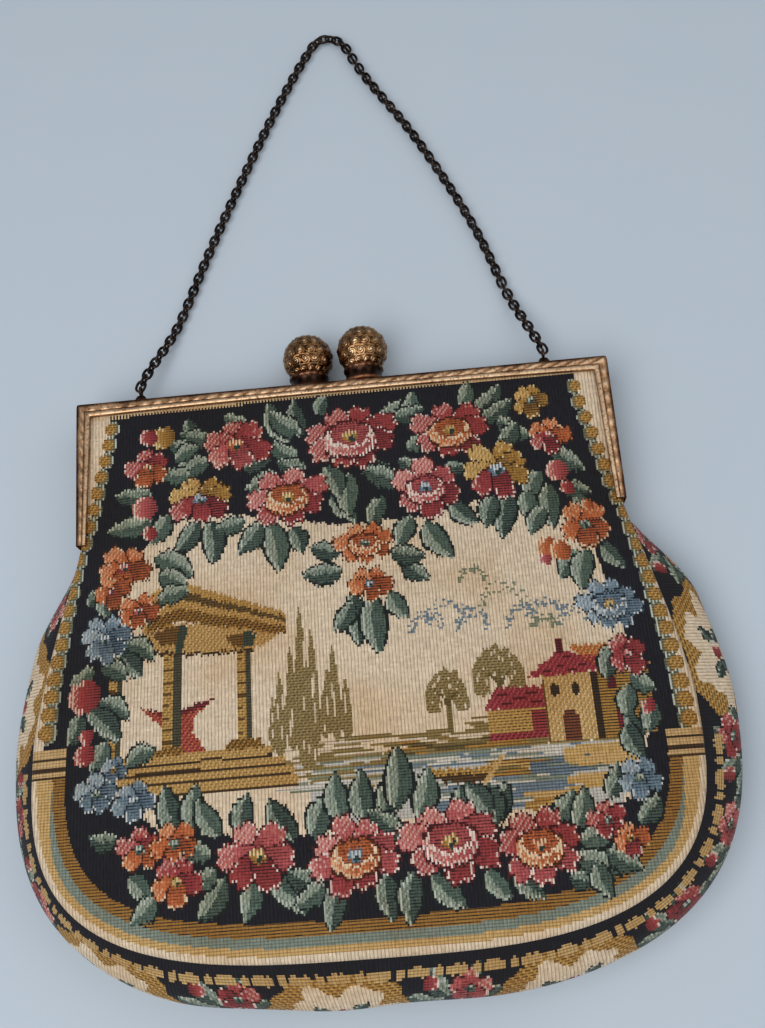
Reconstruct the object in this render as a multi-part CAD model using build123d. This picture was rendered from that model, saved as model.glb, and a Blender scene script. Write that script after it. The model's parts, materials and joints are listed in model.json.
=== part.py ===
"""Tapestry evening purse with a hinged metal frame, a ball clasp and a chain handle.

The purse lies on its back. X runs along the frame's bar, Y from the bag's bottom to the bar and
on to the chain, and Z up through the front panel. The origin is on the flat of the back panel.
"""
import os
from math import asin, ceil, cos, floor, hypot, pi, radians, sin, sqrt

from build123d import *

# Frame halves: an upside-down U of folded sheet, parted on a plane above the resting face
frame_width = 140.0
frame_top = 80.0
leg_length = 39.0
parting_height = 8.5
half_depth = 6.0
parting_gap = 0.3
sheet_thickness = 0.9
bar_face = 4.6
leg_end_face = 2.6
corner_radius = 1.2
lip_width = 0.9
lip_height = 0.4

# Twisted rope relief on the faces of the frame
rope_pitch = 4.0
rope_margin = 0.5
rope_height = 0.45
rope_root = 0.2
rope_stroke_share = 0.55
rope_lean_share = 1.0

# Riveted hinges at the leg ends
ear_radius = 2.6
ear_gap = 0.2
ear_clearance = 0.4
ear_tab_length = 8.0
ear_tab_height = 3.0
rivet_radius = 0.9
rivet_clearance = 0.05
rivet_head_radius = 1.8
rivet_head_height = 0.6
rivet_play = 0.1
rivet_sides = 10

# Ball clasp: one ball and collar on each half
ball_diameter = 13.0
ball_reach = 9.8
front_ball_x = 6.4
back_ball_x = -8.5
ball_offset = 1.2
ball_columns = 12
ball_rows = 6
boss_height = 0.5
pole_cap_angle = 18.0
collar_diameter = 10.4
collar_foot_diameter = 9.0
collar_foot_height = 2.2
collar_sides = 14
collar_play = 0.3

# Chain lugs on the back half
lug_inset = 15.4
lug_reach = 5.6
lug_depth = 2.2
eye_hole_radius = 0.9
eye_wire = 0.65
eye_sides = 12
lug_foot_length = 4.4
lug_foot_width = 2.6
lug_neck_length = 1.8

# Chain of oval wire links, lying along a hand-drawn route
link_length = 3.8
link_width = 3.0
link_wire = 0.75
link_play = 0.22
link_chamfer = 0.8
chain_height = 1.6
chain_reach = 117.6
chain_drop_run = 24.0
chain_roll = 45.0
chain_roll_start_share = 0.52
chain_roll_end_share = 0.94
chain_roll_turn_share = 0.08
chain_exit_share = 0.4
chain_route_shares = ((-0.888, 0.162), (-0.696, 0.364), (-0.467, 0.602), (-0.170, 0.878),
                      (-0.064, 0.962), (0.012, 0.998), (0.098, 0.991), (0.172, 0.938),
                      (0.408, 0.741), (0.592, 0.573), (0.762, 0.384), (0.895, 0.190))

# Bag cloth: front panel, back panel and the strip between them
cloth_thickness = 1.2
cloth_gap = 0.4
seam_gap = 0.35
seam_flare = 8.8
seam_center = -10.0
seam_bottom = 62.3
seam_power = 3.2
side_power = 1.35
side_points = 4
round_points = 16
front_seam_height = 25.5
front_dome = 6.0
dome_power = 2.5
dome_margin = 3.0
arch_margin = 13.2
arch_least_share = 0.6
arch_stations = 9
bulge_right = 10.0
bulge_left = 6.0
bulge_bottom = 10.5
bulge_power = 2.8
bulge_ramp = 26.0
gusset_bands = 4
back_rim = 6.0
back_slope_run = 10.0

# Lining bag
lining_thickness = 0.6
lining_inset = 3.6
lining_gap = 0.4
lining_mouth = 3.0

cut_overrun = 5.0

# Sizes that follow from the ones above
frame_half = frame_width / 2
leg_end = frame_top - leg_length
lug_spread = frame_width - 2 * lug_inset
seam_half_width = frame_half + seam_flare
arch_half_width = seam_half_width + arch_margin
hinge_y = leg_end + ear_radius
face_height = parting_height + half_depth
back_height = parting_height - half_depth
ball_radius = ball_diameter / 2
inner_ear_x = frame_half - sheet_thickness - ear_gap
channel_half = frame_half - sheet_thickness - cloth_gap
channel_top = frame_top - sheet_thickness - cloth_gap
dome_top = frame_top - bar_face - dome_margin
front_edge = face_height - sheet_thickness - cloth_gap
back_edge = back_height + sheet_thickness + cloth_gap
seam_depth = seam_bottom + seam_center
side_run = leg_end - seam_center
front_slope = (front_seam_height - front_edge) / (leg_end + seam_bottom)
gusset_top = hinge_y - hypot(ear_radius, half_depth) - cloth_gap
eye_y = frame_top + lug_reach
eye_z = parting_height - lug_depth
link_pitch = link_length - 2 * link_wire - link_play
panel_top = face_height + front_dome + front_seam_height


def box_between(low, high):
    """Box from its lowest to its highest corner."""
    size = [b - a for a, b in zip(low, high)]
    center = [(a + b) / 2 for a, b in zip(low, high)]
    return Pos(*center) * Box(*size)


def prism(plan, low, high):
    """Plan face pulled up between two heights."""
    return Pos(0, 0, low) * extrude(plan, amount=high - low, dir=(0, 0, 1))


def disc_x(radius, low, high):
    """Round disc about the hinge axis between two places along X, at the parting plane."""
    return Pos((low + high) / 2, hinge_y, 0) * Rot(0, 90, 0) * Cylinder(radius, high - low)


def both_sides(piece):
    """A right-hand piece with its mirror image on the left."""
    return piece + mirror(piece, about=Plane.YZ)


def flat_face(points):
    """Flat face on a loop of points."""
    return Face(Wire.make_polygon(points))


def skinned(rings):
    """Solid wrapped in flat facets from ring to ring, with a flat cap on the first and the last."""
    faces = [flat_face(rings[0]), flat_face(rings[-1])]
    for near, far in zip(rings, rings[1:]):
        for k in range(len(near)):
            m = (k + 1) % len(near)
            faces.append(flat_face([near[k], near[m], far[k]]))
            faces.append(flat_face([near[m], far[m], far[k]]))
    return Solid(Shell(faces))


# Frame

def leg_face(y):
    """Width of a leg's face at a place along the leg."""
    return bar_face + (leg_end_face - bar_face) * (frame_top - y) / leg_length


def u_plan(inset, grow):
    """Plan of the frame with its outer edges moved in and its inner edges moved into the opening."""
    outer = frame_half - inset
    knee = frame_half - bar_face - grow
    foot = frame_half - leg_end_face - grow
    low = leg_end - grow
    top = frame_top - inset
    knee_top = frame_top - bar_face - grow
    return Polygon((-foot, low), (-knee, knee_top), (knee, knee_top), (foot, low), (outer, low),
                   (outer, top), (-outer, top), (-outer, low), align=None)


def lip_plan():
    """Plan of the smooth lip along the inner edge of the face."""
    knee = frame_half - bar_face
    foot = frame_half - leg_end_face
    knee_top = frame_top - bar_face
    return Polygon((-foot, leg_end), (-knee, knee_top), (knee, knee_top), (foot, leg_end),
                   (foot + lip_width, leg_end), (knee + lip_width, knee_top + lip_width),
                   (-knee - lip_width, knee_top + lip_width), (-foot - lip_width, leg_end), align=None)


def rope_stroke(center, along, across, width):
    """One slanted stroke of the rope relief: a ridge rooted in the face."""
    half_length = rope_pitch * rope_stroke_share / 2
    lean = width * rope_lean_share / 2

    def corner(side, end, height):
        place = Vector(center) + Vector(along) * (end * half_length + side * lean)
        place += Vector(across) * (side * width / 2)
        return place + Vector(0, 0, half_depth + height)

    ends = [[corner(side, -1, -rope_root), corner(side, 1, -rope_root), corner(side, 1, 0),
             corner(side, 0, rope_height), corner(side, -1, 0)] for side in (-1, 1)]
    faces = [flat_face(end) for end in ends]
    for k in range(len(ends[0])):
        m = (k + 1) % len(ends[0])
        faces.append(flat_face([ends[0][k], ends[0][m], ends[1][m], ends[1][k]]))
    return Solid(Shell(faces))


def rope_relief():
    """Strokes along the bar and down both legs."""
    width = bar_face - lip_width - 2 * rope_margin
    side_count = floor((frame_half - bar_face) / rope_pitch - 1 / 2)
    y = frame_top - rope_margin - width / 2
    strokes = [rope_stroke((i * rope_pitch, y), (1, 0), (0, 1), width)
               for i in range(-side_count, side_count + 1)]
    for i in range(floor((leg_length - bar_face - ear_radius) / rope_pitch)):
        y = frame_top - bar_face - (i + 1 / 2) * rope_pitch
        width = leg_face(y) - lip_width - 2 * rope_margin
        x = frame_half - rope_margin - width / 2
        strokes.append(rope_stroke((x, y), (0, -1), (1, 0), width))
        strokes.append(rope_stroke((-x, y), (0, 1), (-1, 0), width))
    return strokes


def frame_half_shell():
    """Folded U channel of one half, standing on the parting plane at height zero."""
    body = prism(u_plan(0, 0), parting_gap / 2, half_depth)
    body = fillet(body.edges().filter_by(Axis.Z).group_by(Axis.Y)[-1], corner_radius)
    body -= prism(u_plan(sheet_thickness, cut_overrun), -cut_overrun, half_depth - sheet_thickness)
    body += prism(lip_plan(), half_depth - sheet_thickness, half_depth + lip_height)
    return body + rope_relief()


def rivet_hole():
    """Clearance hole for the rivets, right through both hinges."""
    reach = frame_half + cut_overrun
    return disc_x(rivet_radius + rivet_clearance, -reach, reach)


def front_frame():
    """Front half, with its hinge ears in line with the outer walls of the legs."""
    ears = both_sides(disc_x(ear_radius, frame_half - sheet_thickness, frame_half))
    return Pos(0, 0, parting_height) * (frame_half_shell() + ears - rivet_hole())


def back_frame():
    """Back half, with its hinge ears set inside those of the front half."""
    shell = mirror(frame_half_shell(), about=Plane.XY)
    reach = frame_half + cut_overrun
    wall_top = half_depth - sheet_thickness
    shell -= box_between((-reach, leg_end - cut_overrun, -wall_top), (reach, hinge_y, cut_overrun))
    room = ear_radius + ear_clearance
    shell -= both_sides(disc_x(room, inner_ear_x, reach))
    ear = disc_x(ear_radius, inner_ear_x - sheet_thickness, inner_ear_x)
    tab_end = hinge_y + ear_tab_length
    ear += box_between((inner_ear_x - sheet_thickness, hinge_y, -ear_tab_height),
                       (inner_ear_x, tab_end, -parting_gap / 2))
    ear += box_between((inner_ear_x, hinge_y + room, -ear_tab_height),
                       (frame_half - sheet_thickness, tab_end, -parting_gap / 2))
    return Pos(0, 0, parting_height) * (shell + both_sides(ear) - rivet_hole())


def hinge_rivets():
    """One rivet through the ears of each side, headed at both ends."""
    outer = frame_half + rivet_play
    inner = inner_ear_x - sheet_thickness - rivet_play

    def shank(radius, low, high):
        plane = Plane((low, hinge_y, parting_height), x_dir=(0, 1, 0), z_dir=(1, 0, 0))
        return extrude(plane * RegularPolygon(radius, rivet_sides), amount=high - low)

    rivet = shank(rivet_radius, inner, outer)
    rivet += shank(rivet_head_radius, outer, outer + rivet_head_height)
    rivet += shank(rivet_head_radius, inner - rivet_head_height, inner)
    return both_sides(rivet)


# Ball clasp

def ball_cut():
    """Distance from a ball's centre to the flat that sits on its collar."""
    return sqrt(ball_radius**2 - (collar_diameter / 2)**2)


def ball_point(row, column, lift):
    """Point of the ball's net: rows run from the pole to the flat, and every other row is staggered."""
    flat_angle = pi / 2 + asin(ball_cut() / ball_radius)
    cap = radians(pole_cap_angle)
    polar = cap + (flat_angle - cap) * row / ball_rows
    turn = 2 * pi * (column + row / 2) / ball_columns
    radius = ball_radius + lift
    return (radius * sin(polar) * cos(turn), radius * cos(polar), radius * sin(polar) * sin(turn))


def clasp_ball(x, z):
    """Ball pressed with rows of diamond bosses, cut flat where it meets its collar."""
    faces = []
    pole = (0, ball_radius, 0)
    for j in range(ball_columns):
        faces.append(flat_face([pole, ball_point(0, j, 0), ball_point(0, j + 1, 0)]))
        faces.append(flat_face([ball_point(0, j, 0), ball_point(1, j, 0), ball_point(0, j + 1, 0)]))
        faces.append(flat_face([ball_point(ball_rows, j, 0), ball_point(ball_rows, j + 1, 0),
                                ball_point(ball_rows - 1, j + 1, 0)]))
        for row in range(1, ball_rows):
            rim = [ball_point(row - 1, j + 1, 0), ball_point(row, j, 0),
                   ball_point(row + 1, j, 0), ball_point(row, j + 1, 0)]
            peak = ball_point(row, j + 1 / 2, boss_height)
            faces += [flat_face([rim[k], rim[(k + 1) % len(rim)], peak]) for k in range(len(rim))]
    faces.append(flat_face([ball_point(ball_rows, j, 0) for j in range(ball_columns)]))
    return Pos(x, frame_top + ball_reach, z) * Solid(Shell(faces))


def clasp_collar(x, z, side):
    """Flared collar under a ball, its foot relieved where it hangs over the other half."""
    foot_top = frame_top + collar_foot_height
    neck_top = frame_top + ball_reach - ball_cut()
    levels = ((frame_top, collar_foot_diameter), (foot_top, collar_foot_diameter),
              (neck_top, collar_diameter))
    turns = [2 * pi * k / collar_sides for k in range(collar_sides)]
    collar = skinned([[(x + d / 2 * cos(t), y, z + d / 2 * sin(t)) for t in turns] for y, d in levels])
    reach = collar_diameter
    edges = sorted((parting_height + side * parting_gap / 2, parting_height - side * reach))
    return collar - box_between((x - reach, frame_top - cut_overrun, edges[0]),
                                (x + reach, frame_top + collar_play, edges[1]))


# Chain and lugs

def chain_lug(side):
    """Flared foot on the back half's top wall, ending in an eye for the first link."""
    x = side * lug_spread / 2
    ring = RegularPolygon(eye_hole_radius + eye_wire, eye_sides)
    ring -= RegularPolygon(eye_hole_radius, eye_sides)
    eye = Plane((x - eye_wire / 2, eye_y, eye_z), x_dir=(0, 1, 0), z_dir=(1, 0, 0)) * ring
    lug = extrude(eye, amount=eye_wire)
    neck = lug_reach - eye_hole_radius - eye_wire / 2
    inset_x = (lug_foot_length - lug_neck_length) / 2
    inset_z = (lug_foot_width - eye_wire) / 2
    foot = Wedge(lug_foot_length, neck, lug_foot_width, inset_x, inset_z, lug_foot_length - inset_x,
                 lug_foot_width - inset_z, align=(Align.CENTER, Align.MIN, Align.CENTER))
    return lug + Pos(x, frame_top, eye_z) * foot


def link_blank():
    """One oval link, lying flat along X."""
    plan = Rectangle(link_length, link_width)
    plan = chamfer(plan.vertices(), link_chamfer)
    plan -= Rectangle(link_length - 2 * link_wire, link_width - 2 * link_wire)
    return Pos(0, 0, -link_wire / 2) * extrude(plan, amount=link_wire)


def chain_route():
    """Plan of the chain from the centre of the first link to that of the last."""
    half = lug_spread / 2
    start = eye_y + (link_length - link_wire) / 2
    points = [(x * half, frame_top + y * chain_reach) for x, y in chain_route_shares]
    lean = chain_exit_share
    return Spline((-half, start), *points, (half, start), tangents=((lean, 1), (lean, -1)),
                  tangent_scalars=(chain_exit_share, chain_exit_share))


def smooth_step(value):
    """Ease from 0 to 1."""
    t = min(1, max(0, value))
    return t * t * (3 - 2 * t)


def chain_links():
    """Links along the route, each a quarter turn from the one before."""
    route = chain_route()
    pairs = ceil(route.length / link_pitch / 2)
    count = 2 * pairs
    blank = link_blank()

    def place(share):
        flat = route @ min(1, max(0, share))
        near_end = min(share, 1 - share) * route.length
        drop = smooth_step(near_end / chain_drop_run)
        return Vector(flat.X, flat.Y, eye_z + (chain_height - eye_z) * drop)

    links = []
    for i in range(count + 1):
        share = i / count
        step = 1 / (2 * count)
        along = place(share + step) - place(share - step)
        up = Vector(0, 0, 1)
        lean_in = smooth_step((share - chain_roll_start_share) / chain_roll_turn_share)
        lean_out = smooth_step((chain_roll_end_share - share) / chain_roll_turn_share)
        roll = chain_roll * lean_in * lean_out + 90 * (i % 2)
        plane = Plane(place(share), x_dir=along, z_dir=up - along * (up.dot(along) / along.dot(along)))
        links.append(plane.location * Rot(roll, 0, 0) * blank)
    return Compound(links)


# Bag cloth

def side_half_width(y):
    """Half-width of the front seam above the bag's widest place."""
    share = (y - seam_center) / side_run
    return seam_half_width - (seam_half_width - channel_half) * share**side_power


def seam_points(swell, inset):
    """Bag outline from the right leg round the bottom to the left leg, swollen and then moved in."""
    power = seam_power + (bulge_power - seam_power) * swell
    depth = seam_depth + bulge_bottom * swell - inset
    points = []
    for i in range(side_points):
        y = leg_end - side_run * i / side_points
        ramp = smooth_step((leg_end - y) / bulge_ramp)
        points.append((side_half_width(y) - inset, y, ramp))
    right = [(x + bulge_right * swell * ramp, y) for x, y, ramp in points]
    left = [(-x - bulge_left * swell * ramp, y) for x, y, ramp in points]
    bottom = []
    for i in range(round_points + 1):
        turn = pi * i / round_points
        bulge = bulge_right if 2 * i < round_points else bulge_left
        across = seam_half_width + bulge * swell - inset
        side = 1 if 2 * i < round_points else -1
        reach = abs(cos(turn))**(2 / power) if 2 * i != round_points else 0
        bottom.append((side * across * reach, seam_center - depth * sin(turn)**(2 / power)))
    bottom[-1] = (bottom[-1][0], seam_center)
    return right + bottom + left[::-1]


def panel_outline(inset):
    """Outline of a panel: that of the bag below the hinges and the frame's channel above them."""
    half = channel_half - inset
    top = channel_top - inset
    return [*seam_points(0, inset), (-half, top), (half, top)]


def panel_block(inset):
    """Panel's outline pulled up through the whole bag."""
    return prism(Polygon(*panel_outline(inset)[::-1], align=None), 0, panel_top)


def front_base(y):
    """Height of the front panel's edge: level in the frame and rising to the bag's bottom."""
    return front_edge + front_slope * max(0, leg_end - y)


def front_arch(y):
    """Half-width and rise of the front panel's arch at a place along the bag."""
    if y > seam_center:
        share = min(1, (y - seam_center) / (dome_top - seam_center))
        width = side_half_width(y) if y < leg_end else frame_half - leg_face(y) - dome_margin
        return width, front_dome * (1 - share**dome_power)
    share = min(1, (seam_center - y) / seam_depth)
    left_over = 1 - share**seam_power
    return seam_half_width * max(arch_least_share, left_over**(1 / seam_power)), front_dome * left_over


def arch_band(y):
    """Section of the front panel across the bag: a shallow arch of cloth."""
    width, rise = front_arch(y)
    top = front_base(y) + rise
    fall = rise * (arch_half_width / width)**2
    edge = top - fall
    crown = top + fall
    left, right = (-arch_half_width, arch_half_width)
    upper = Bezier((left, y, edge), (0, y, crown), (right, y, edge))
    lower = Bezier((right, y, edge - cloth_thickness), (0, y, crown - cloth_thickness),
                   (left, y, edge - cloth_thickness))
    ends = [Line(upper @ 1, lower @ 0), Line(lower @ 1, upper @ 0)]
    return make_face([*upper.edges(), *ends[0].edges(), *lower.edges(), *ends[1].edges()])


def front_panel():
    """Front panel: arched sections lofted along the bag and trimmed to the outline."""
    low = -seam_bottom - cut_overrun
    stations = [dome_top + (low - dome_top) * i / arch_stations for i in range(arch_stations + 1)]
    stations.insert(0, channel_top + cut_overrun)
    return loft([arch_band(y) for y in stations], ruled=True) & panel_block(0)


def back_panel():
    """Back panel: a level rim held by the frame and the strip, and a dish with a flat to lie on."""
    levels = ((back_rim + back_slope_run, 0), (back_rim, back_edge), (0, back_edge))
    under = [[(x, y, z) for x, y in panel_outline(inset)] for inset, z in levels]
    over = [[(x, y, z + cloth_thickness) for x, y, z in ring] for ring in under[::-1]]
    return skinned(under + over)


def gusset_line(share, inset):
    """Bag outline on one of the planes that fan out between the back and front seams."""
    low = back_edge + cloth_thickness + seam_gap
    points = []
    for x, y in seam_points(sin(pi * share), inset):
        high = front_edge + front_slope * (leg_end - y) - cloth_thickness - seam_gap
        points.append((x, y, low + (high - low) * share))
    return points


def gusset():
    """Strip round the sides and bottom, bulging between the two panels."""
    shares = [i / gusset_bands for i in range(gusset_bands + 1)]
    outside = [gusset_line(share, 0) for share in shares]
    inside = [gusset_line(share, cloth_thickness) for share in shares[::-1]]
    wall = skinned([list(ring) for ring in zip(*outside, *inside)])
    reach = arch_half_width + cut_overrun
    return wall - box_between((-reach, gusset_top, -cut_overrun), (reach, frame_top, panel_top))


def lining_block(inset, gap, mouth):
    """Wedge-shaped inside of the bag, kept a gap away from both panels."""
    low = back_edge + cloth_thickness + gap
    drop = cloth_thickness + gap
    bottom = -seam_bottom - cut_overrun
    side = Polygon((bottom, low), (mouth, low), (mouth, front_edge - drop), (leg_end, front_edge - drop),
                   (bottom, front_base(bottom) - drop), align=None)
    profile = Plane((-arch_half_width, 0, 0), x_dir=(0, 1, 0), z_dir=(1, 0, 0)) * side
    return extrude(profile, amount=2 * arch_half_width) & panel_block(inset)


def lining():
    """Thin lining bag, open at the mouth of the frame."""
    mouth = channel_top - lining_mouth
    outside = lining_block(lining_inset, lining_gap, mouth)
    inside = lining_block(lining_inset + lining_thickness, lining_gap + lining_thickness, mouth)
    opened = box_between((-channel_half + lining_inset + lining_thickness, leg_end,
                          back_edge + cloth_thickness + lining_gap + lining_thickness),
                         (channel_half - lining_inset - lining_thickness, frame_top,
                          front_edge - cloth_thickness - lining_gap - lining_thickness))
    return outside - inside - opened


def main():
    front_z = parting_height + ball_offset
    back_z = parting_height - ball_offset
    nodes = {
        "front_frame": front_frame(),
        "back_frame": back_frame(),
        "hinge_rivets": hinge_rivets(),
        "front_clasp_ball": clasp_ball(front_ball_x, front_z),
        "front_clasp_collar": clasp_collar(front_ball_x, front_z, 1),
        "back_clasp_ball": clasp_ball(back_ball_x, back_z),
        "back_clasp_collar": clasp_collar(back_ball_x, back_z, -1),
        "left_chain_lug": chain_lug(-1),
        "right_chain_lug": chain_lug(1),
        "chain_links": chain_links(),
        "front_panel": front_panel(),
        "back_panel": back_panel(),
        "gusset": gusset(),
        "lining": lining(),
    }
    os.makedirs("parts", exist_ok=True)
    for name, shape in nodes.items():
        export_step(shape, f"parts/{name}.step")


main()
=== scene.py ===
import json
from math import cos, hypot, pi, radians, sin

import bpy
import numpy as np
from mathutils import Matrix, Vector

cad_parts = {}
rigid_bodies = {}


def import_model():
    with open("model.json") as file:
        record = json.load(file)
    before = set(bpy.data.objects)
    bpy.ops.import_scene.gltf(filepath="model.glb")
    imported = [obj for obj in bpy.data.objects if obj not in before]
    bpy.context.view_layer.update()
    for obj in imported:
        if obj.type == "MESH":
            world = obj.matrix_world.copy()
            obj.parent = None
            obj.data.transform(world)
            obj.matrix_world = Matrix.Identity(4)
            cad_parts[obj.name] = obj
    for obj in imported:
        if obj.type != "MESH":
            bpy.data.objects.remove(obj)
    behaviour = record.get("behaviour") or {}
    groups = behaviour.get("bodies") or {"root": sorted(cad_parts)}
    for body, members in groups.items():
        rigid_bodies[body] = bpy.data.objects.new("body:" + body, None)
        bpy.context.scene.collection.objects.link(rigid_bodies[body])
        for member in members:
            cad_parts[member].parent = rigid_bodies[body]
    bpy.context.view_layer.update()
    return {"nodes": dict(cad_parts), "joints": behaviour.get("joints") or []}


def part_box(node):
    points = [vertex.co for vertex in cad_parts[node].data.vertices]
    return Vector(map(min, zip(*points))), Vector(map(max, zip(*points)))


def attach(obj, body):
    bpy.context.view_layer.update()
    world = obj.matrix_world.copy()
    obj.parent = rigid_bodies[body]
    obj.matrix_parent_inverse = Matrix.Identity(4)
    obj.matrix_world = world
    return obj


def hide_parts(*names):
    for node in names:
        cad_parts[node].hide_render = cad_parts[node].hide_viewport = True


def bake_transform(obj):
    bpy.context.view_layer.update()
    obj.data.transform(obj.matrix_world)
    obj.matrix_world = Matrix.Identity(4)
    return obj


for leftover in list(bpy.data.objects):
    bpy.data.objects.remove(leftover)
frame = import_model()

# Sizes in millimetres, as in the CAD model: X along the bar, Y from the bag's bottom to the bar, Z up
MM = 0.001


def box_mm(node):
    """Lowest and highest corner of a CAD node."""
    low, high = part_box(node)
    return np.array(low) / MM, np.array(high) / MM


FRAME_LOW, FRAME_HIGH = box_mm("front_frame")
PANEL_LOW, PANEL_HIGH = box_mm("front_panel")
GUSSET_LOW, GUSSET_HIGH = box_mm("gusset")
HINGE = np.array(frame["joints"][0]["pos_m"]) / MM
FRAME_HALF = FRAME_HIGH[0]
FRAME_TOP = FRAME_HIGH[1]
LEG_END = FRAME_LOW[1]
SEAM_HALF = PANEL_HIGH[0]
SEAM_BOTTOM = -PANEL_LOW[1]
CHANNEL_TOP = PANEL_HIGH[1]
HINGE_Y = HINGE[1]
PARTING = HINGE[2]
HALF_DEPTH = 6.0
SHEET = 0.9
BAR_FACE = 4.6
LEG_END_FACE = 2.6
DRAWN_FACE = 3.8
BAR_BOW = 0.7
CLOTH_GAP = 0.4
CHANNEL_HALF = FRAME_HALF - SHEET - CLOTH_GAP
FRONT_EDGE = PARTING + HALF_DEPTH - SHEET - CLOTH_GAP
BACK_EDGE = PARTING - HALF_DEPTH + SHEET + CLOTH_GAP
SEAM_CENTER = -10.0
SEAM_DEPTH = SEAM_BOTTOM + SEAM_CENTER
SEAM_POWER = 3.2
SIDE_POWER = 1.35
FRONT_SEAM_HEIGHT = 25.5
FRONT_SLOPE = (FRONT_SEAM_HEIGHT - FRONT_EDGE) / (LEG_END + SEAM_BOTTOM)
FRONT_DOME = 6.0
DOME_POWER = 2.5
DOME_MARGIN = 3.0
DOME_TOP = FRAME_TOP - BAR_FACE - DOME_MARGIN
ARCH_LEAST_SHARE = 0.6
BULGE_RIGHT = GUSSET_HIGH[0] - SEAM_HALF
BULGE_LEFT = -GUSSET_LOW[0] - SEAM_HALF
BULGE_BOTTOM = -GUSSET_LOW[1] - SEAM_BOTTOM
BULGE_POWER = 2.8
BULGE_RAMP = 26.0
CLOTH = 1.2
BACK_RIM = 6.0
BACK_SLOPE_RUN = 10.0


# Shape of the bag

def smooth_step(value):
    """Ease from 0 to 1."""
    t = np.clip(value, 0, 1)
    return t * t * (3 - 2 * t)


def side_half_width(y):
    """Half-width of the panels at a place along the bag, above its widest place."""
    share = np.clip((y - SEAM_CENTER) / (LEG_END - SEAM_CENTER), 0, 1)
    return SEAM_HALF - (SEAM_HALF - CHANNEL_HALF) * share**SIDE_POWER


def round_share(x, y):
    """Place below the bag's widest line, as a share of the way from the centre to the round outline."""
    down = np.clip(SEAM_CENTER - y, 0, None)
    return (np.abs(x / SEAM_HALF)**SEAM_POWER + (down / SEAM_DEPTH)**SEAM_POWER)**(1 / SEAM_POWER)


def seam_inset(x, y):
    """Distance from a place on a panel to its outline, negative outside it."""
    above = side_half_width(y) - np.abs(x)
    share = np.maximum(round_share(x, y), 1e-6)
    down = np.clip(SEAM_CENTER - y, 0, None)
    grade_x = (np.abs(x) / SEAM_HALF)**(SEAM_POWER - 1) / SEAM_HALF
    grade_y = (down / SEAM_DEPTH)**(SEAM_POWER - 1) / SEAM_DEPTH
    grade = np.hypot(grade_x, grade_y) * share**(1 - SEAM_POWER)
    below = (1 - share) / np.maximum(grade, 1 / (2 * SEAM_HALF))
    return np.where(y > SEAM_CENTER, np.minimum(above, CHANNEL_TOP - y), below)


def leg_face(y):
    """Width of the frame's face along a leg."""
    return BAR_FACE + (LEG_END_FACE - BAR_FACE) * (FRAME_TOP - y) / (FRAME_TOP - LEG_END)


def bar_face(x):
    """Width of the bar's face as drawn, least in the middle."""
    return DRAWN_FACE - BAR_BOW * np.clip(1 - (x / (FRAME_HALF - DRAWN_FACE))**2, 0, 1)


def front_height(x, y):
    """Height of the front panel's outside."""
    base = FRONT_EDGE + FRONT_SLOPE * np.clip(LEG_END - y, 0, None)
    up = np.clip((y - SEAM_CENTER) / (DOME_TOP - SEAM_CENTER), 0, 1)
    down = np.clip((SEAM_CENTER - y) / SEAM_DEPTH, 0, 1)
    left_over = 1 - down**SEAM_POWER
    rise = np.where(y > SEAM_CENTER, FRONT_DOME * (1 - up**DOME_POWER), FRONT_DOME * left_over)
    round_width = SEAM_HALF * np.maximum(ARCH_LEAST_SHARE, left_over**(1 / SEAM_POWER))
    framed_width = FRAME_HALF - leg_face(y) - DOME_MARGIN
    inside_frame = smooth_step((y - LEG_END + DOME_MARGIN) / (2 * DOME_MARGIN))
    side_width = side_half_width(y) + (framed_width - side_half_width(y)) * inside_frame
    width = np.where(y > SEAM_CENTER, side_width, round_width)
    return base + rise * np.clip(1 - (x / width)**2, 0, 1)


def back_height(x, y):
    """Height of the back panel's outside: a rim at the seam, sloping to the flat that it lies on."""
    share = (seam_inset(x, y) - BACK_RIM / 2) / (BACK_RIM / 2 + BACK_SLOPE_RUN)
    return BACK_EDGE * (1 - smooth_step(share))


# Mesh helpers

def grid_faces(rows, columns, wrap=False):
    """Quads of a grid of points, with its columns joined into a ring where it wraps."""
    across = np.arange(columns if wrap else columns - 1)
    i, j = np.meshgrid(np.arange(rows - 1) * columns, across, indexing="ij")
    k = (j + 1) % columns
    return np.stack([i + j, i + k, i + columns + k, i + columns + j], -1).reshape(-1, 4)


def new_object(name, data):
    """Object linked into the scene."""
    made = bpy.data.objects.new(name, data)
    bpy.context.scene.collection.objects.link(made)
    return made


def new_piece(name, points, faces, material):
    """Smooth mesh object from points in millimetres."""
    mesh = bpy.data.meshes.new(name)
    mesh.from_pydata((np.asarray(points) * MM).tolist(), [], [list(face) for face in faces])
    mesh.polygons.foreach_set("use_smooth", np.full(len(mesh.polygons), True))
    mesh.materials.append(material)
    mesh.update()
    return new_object(name, mesh)


def set_stitches(piece, colour, hatch):
    """Colour and hatching of each stitch, which is one quad."""
    opaque = np.pad(colour, ((0, 0), (0, 1)), constant_values=1)
    tint = piece.data.color_attributes.new("stitch", "FLOAT_COLOR", "CORNER")
    tint.data.foreach_set("color", np.repeat(opaque, 4, 0).astype(np.float32).ravel())
    lines = piece.data.attributes.new("hatch", "FLOAT", "CORNER")
    lines.data.foreach_set("value", np.repeat(hatch, 4).astype(np.float32))


def set_weave(piece, u, v):
    """Places on the flat cloth, in centimetres, for the weave."""
    layer = piece.data.uv_layers.new(name="weave")
    corners = np.zeros(len(piece.data.loops), np.int32)
    piece.data.loops.foreach_get("vertex_index", corners)
    layer.data.foreach_set("uv", np.stack([u[corners], v[corners]], 1).astype(np.float32).ravel() / 10)


# Materials

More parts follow.
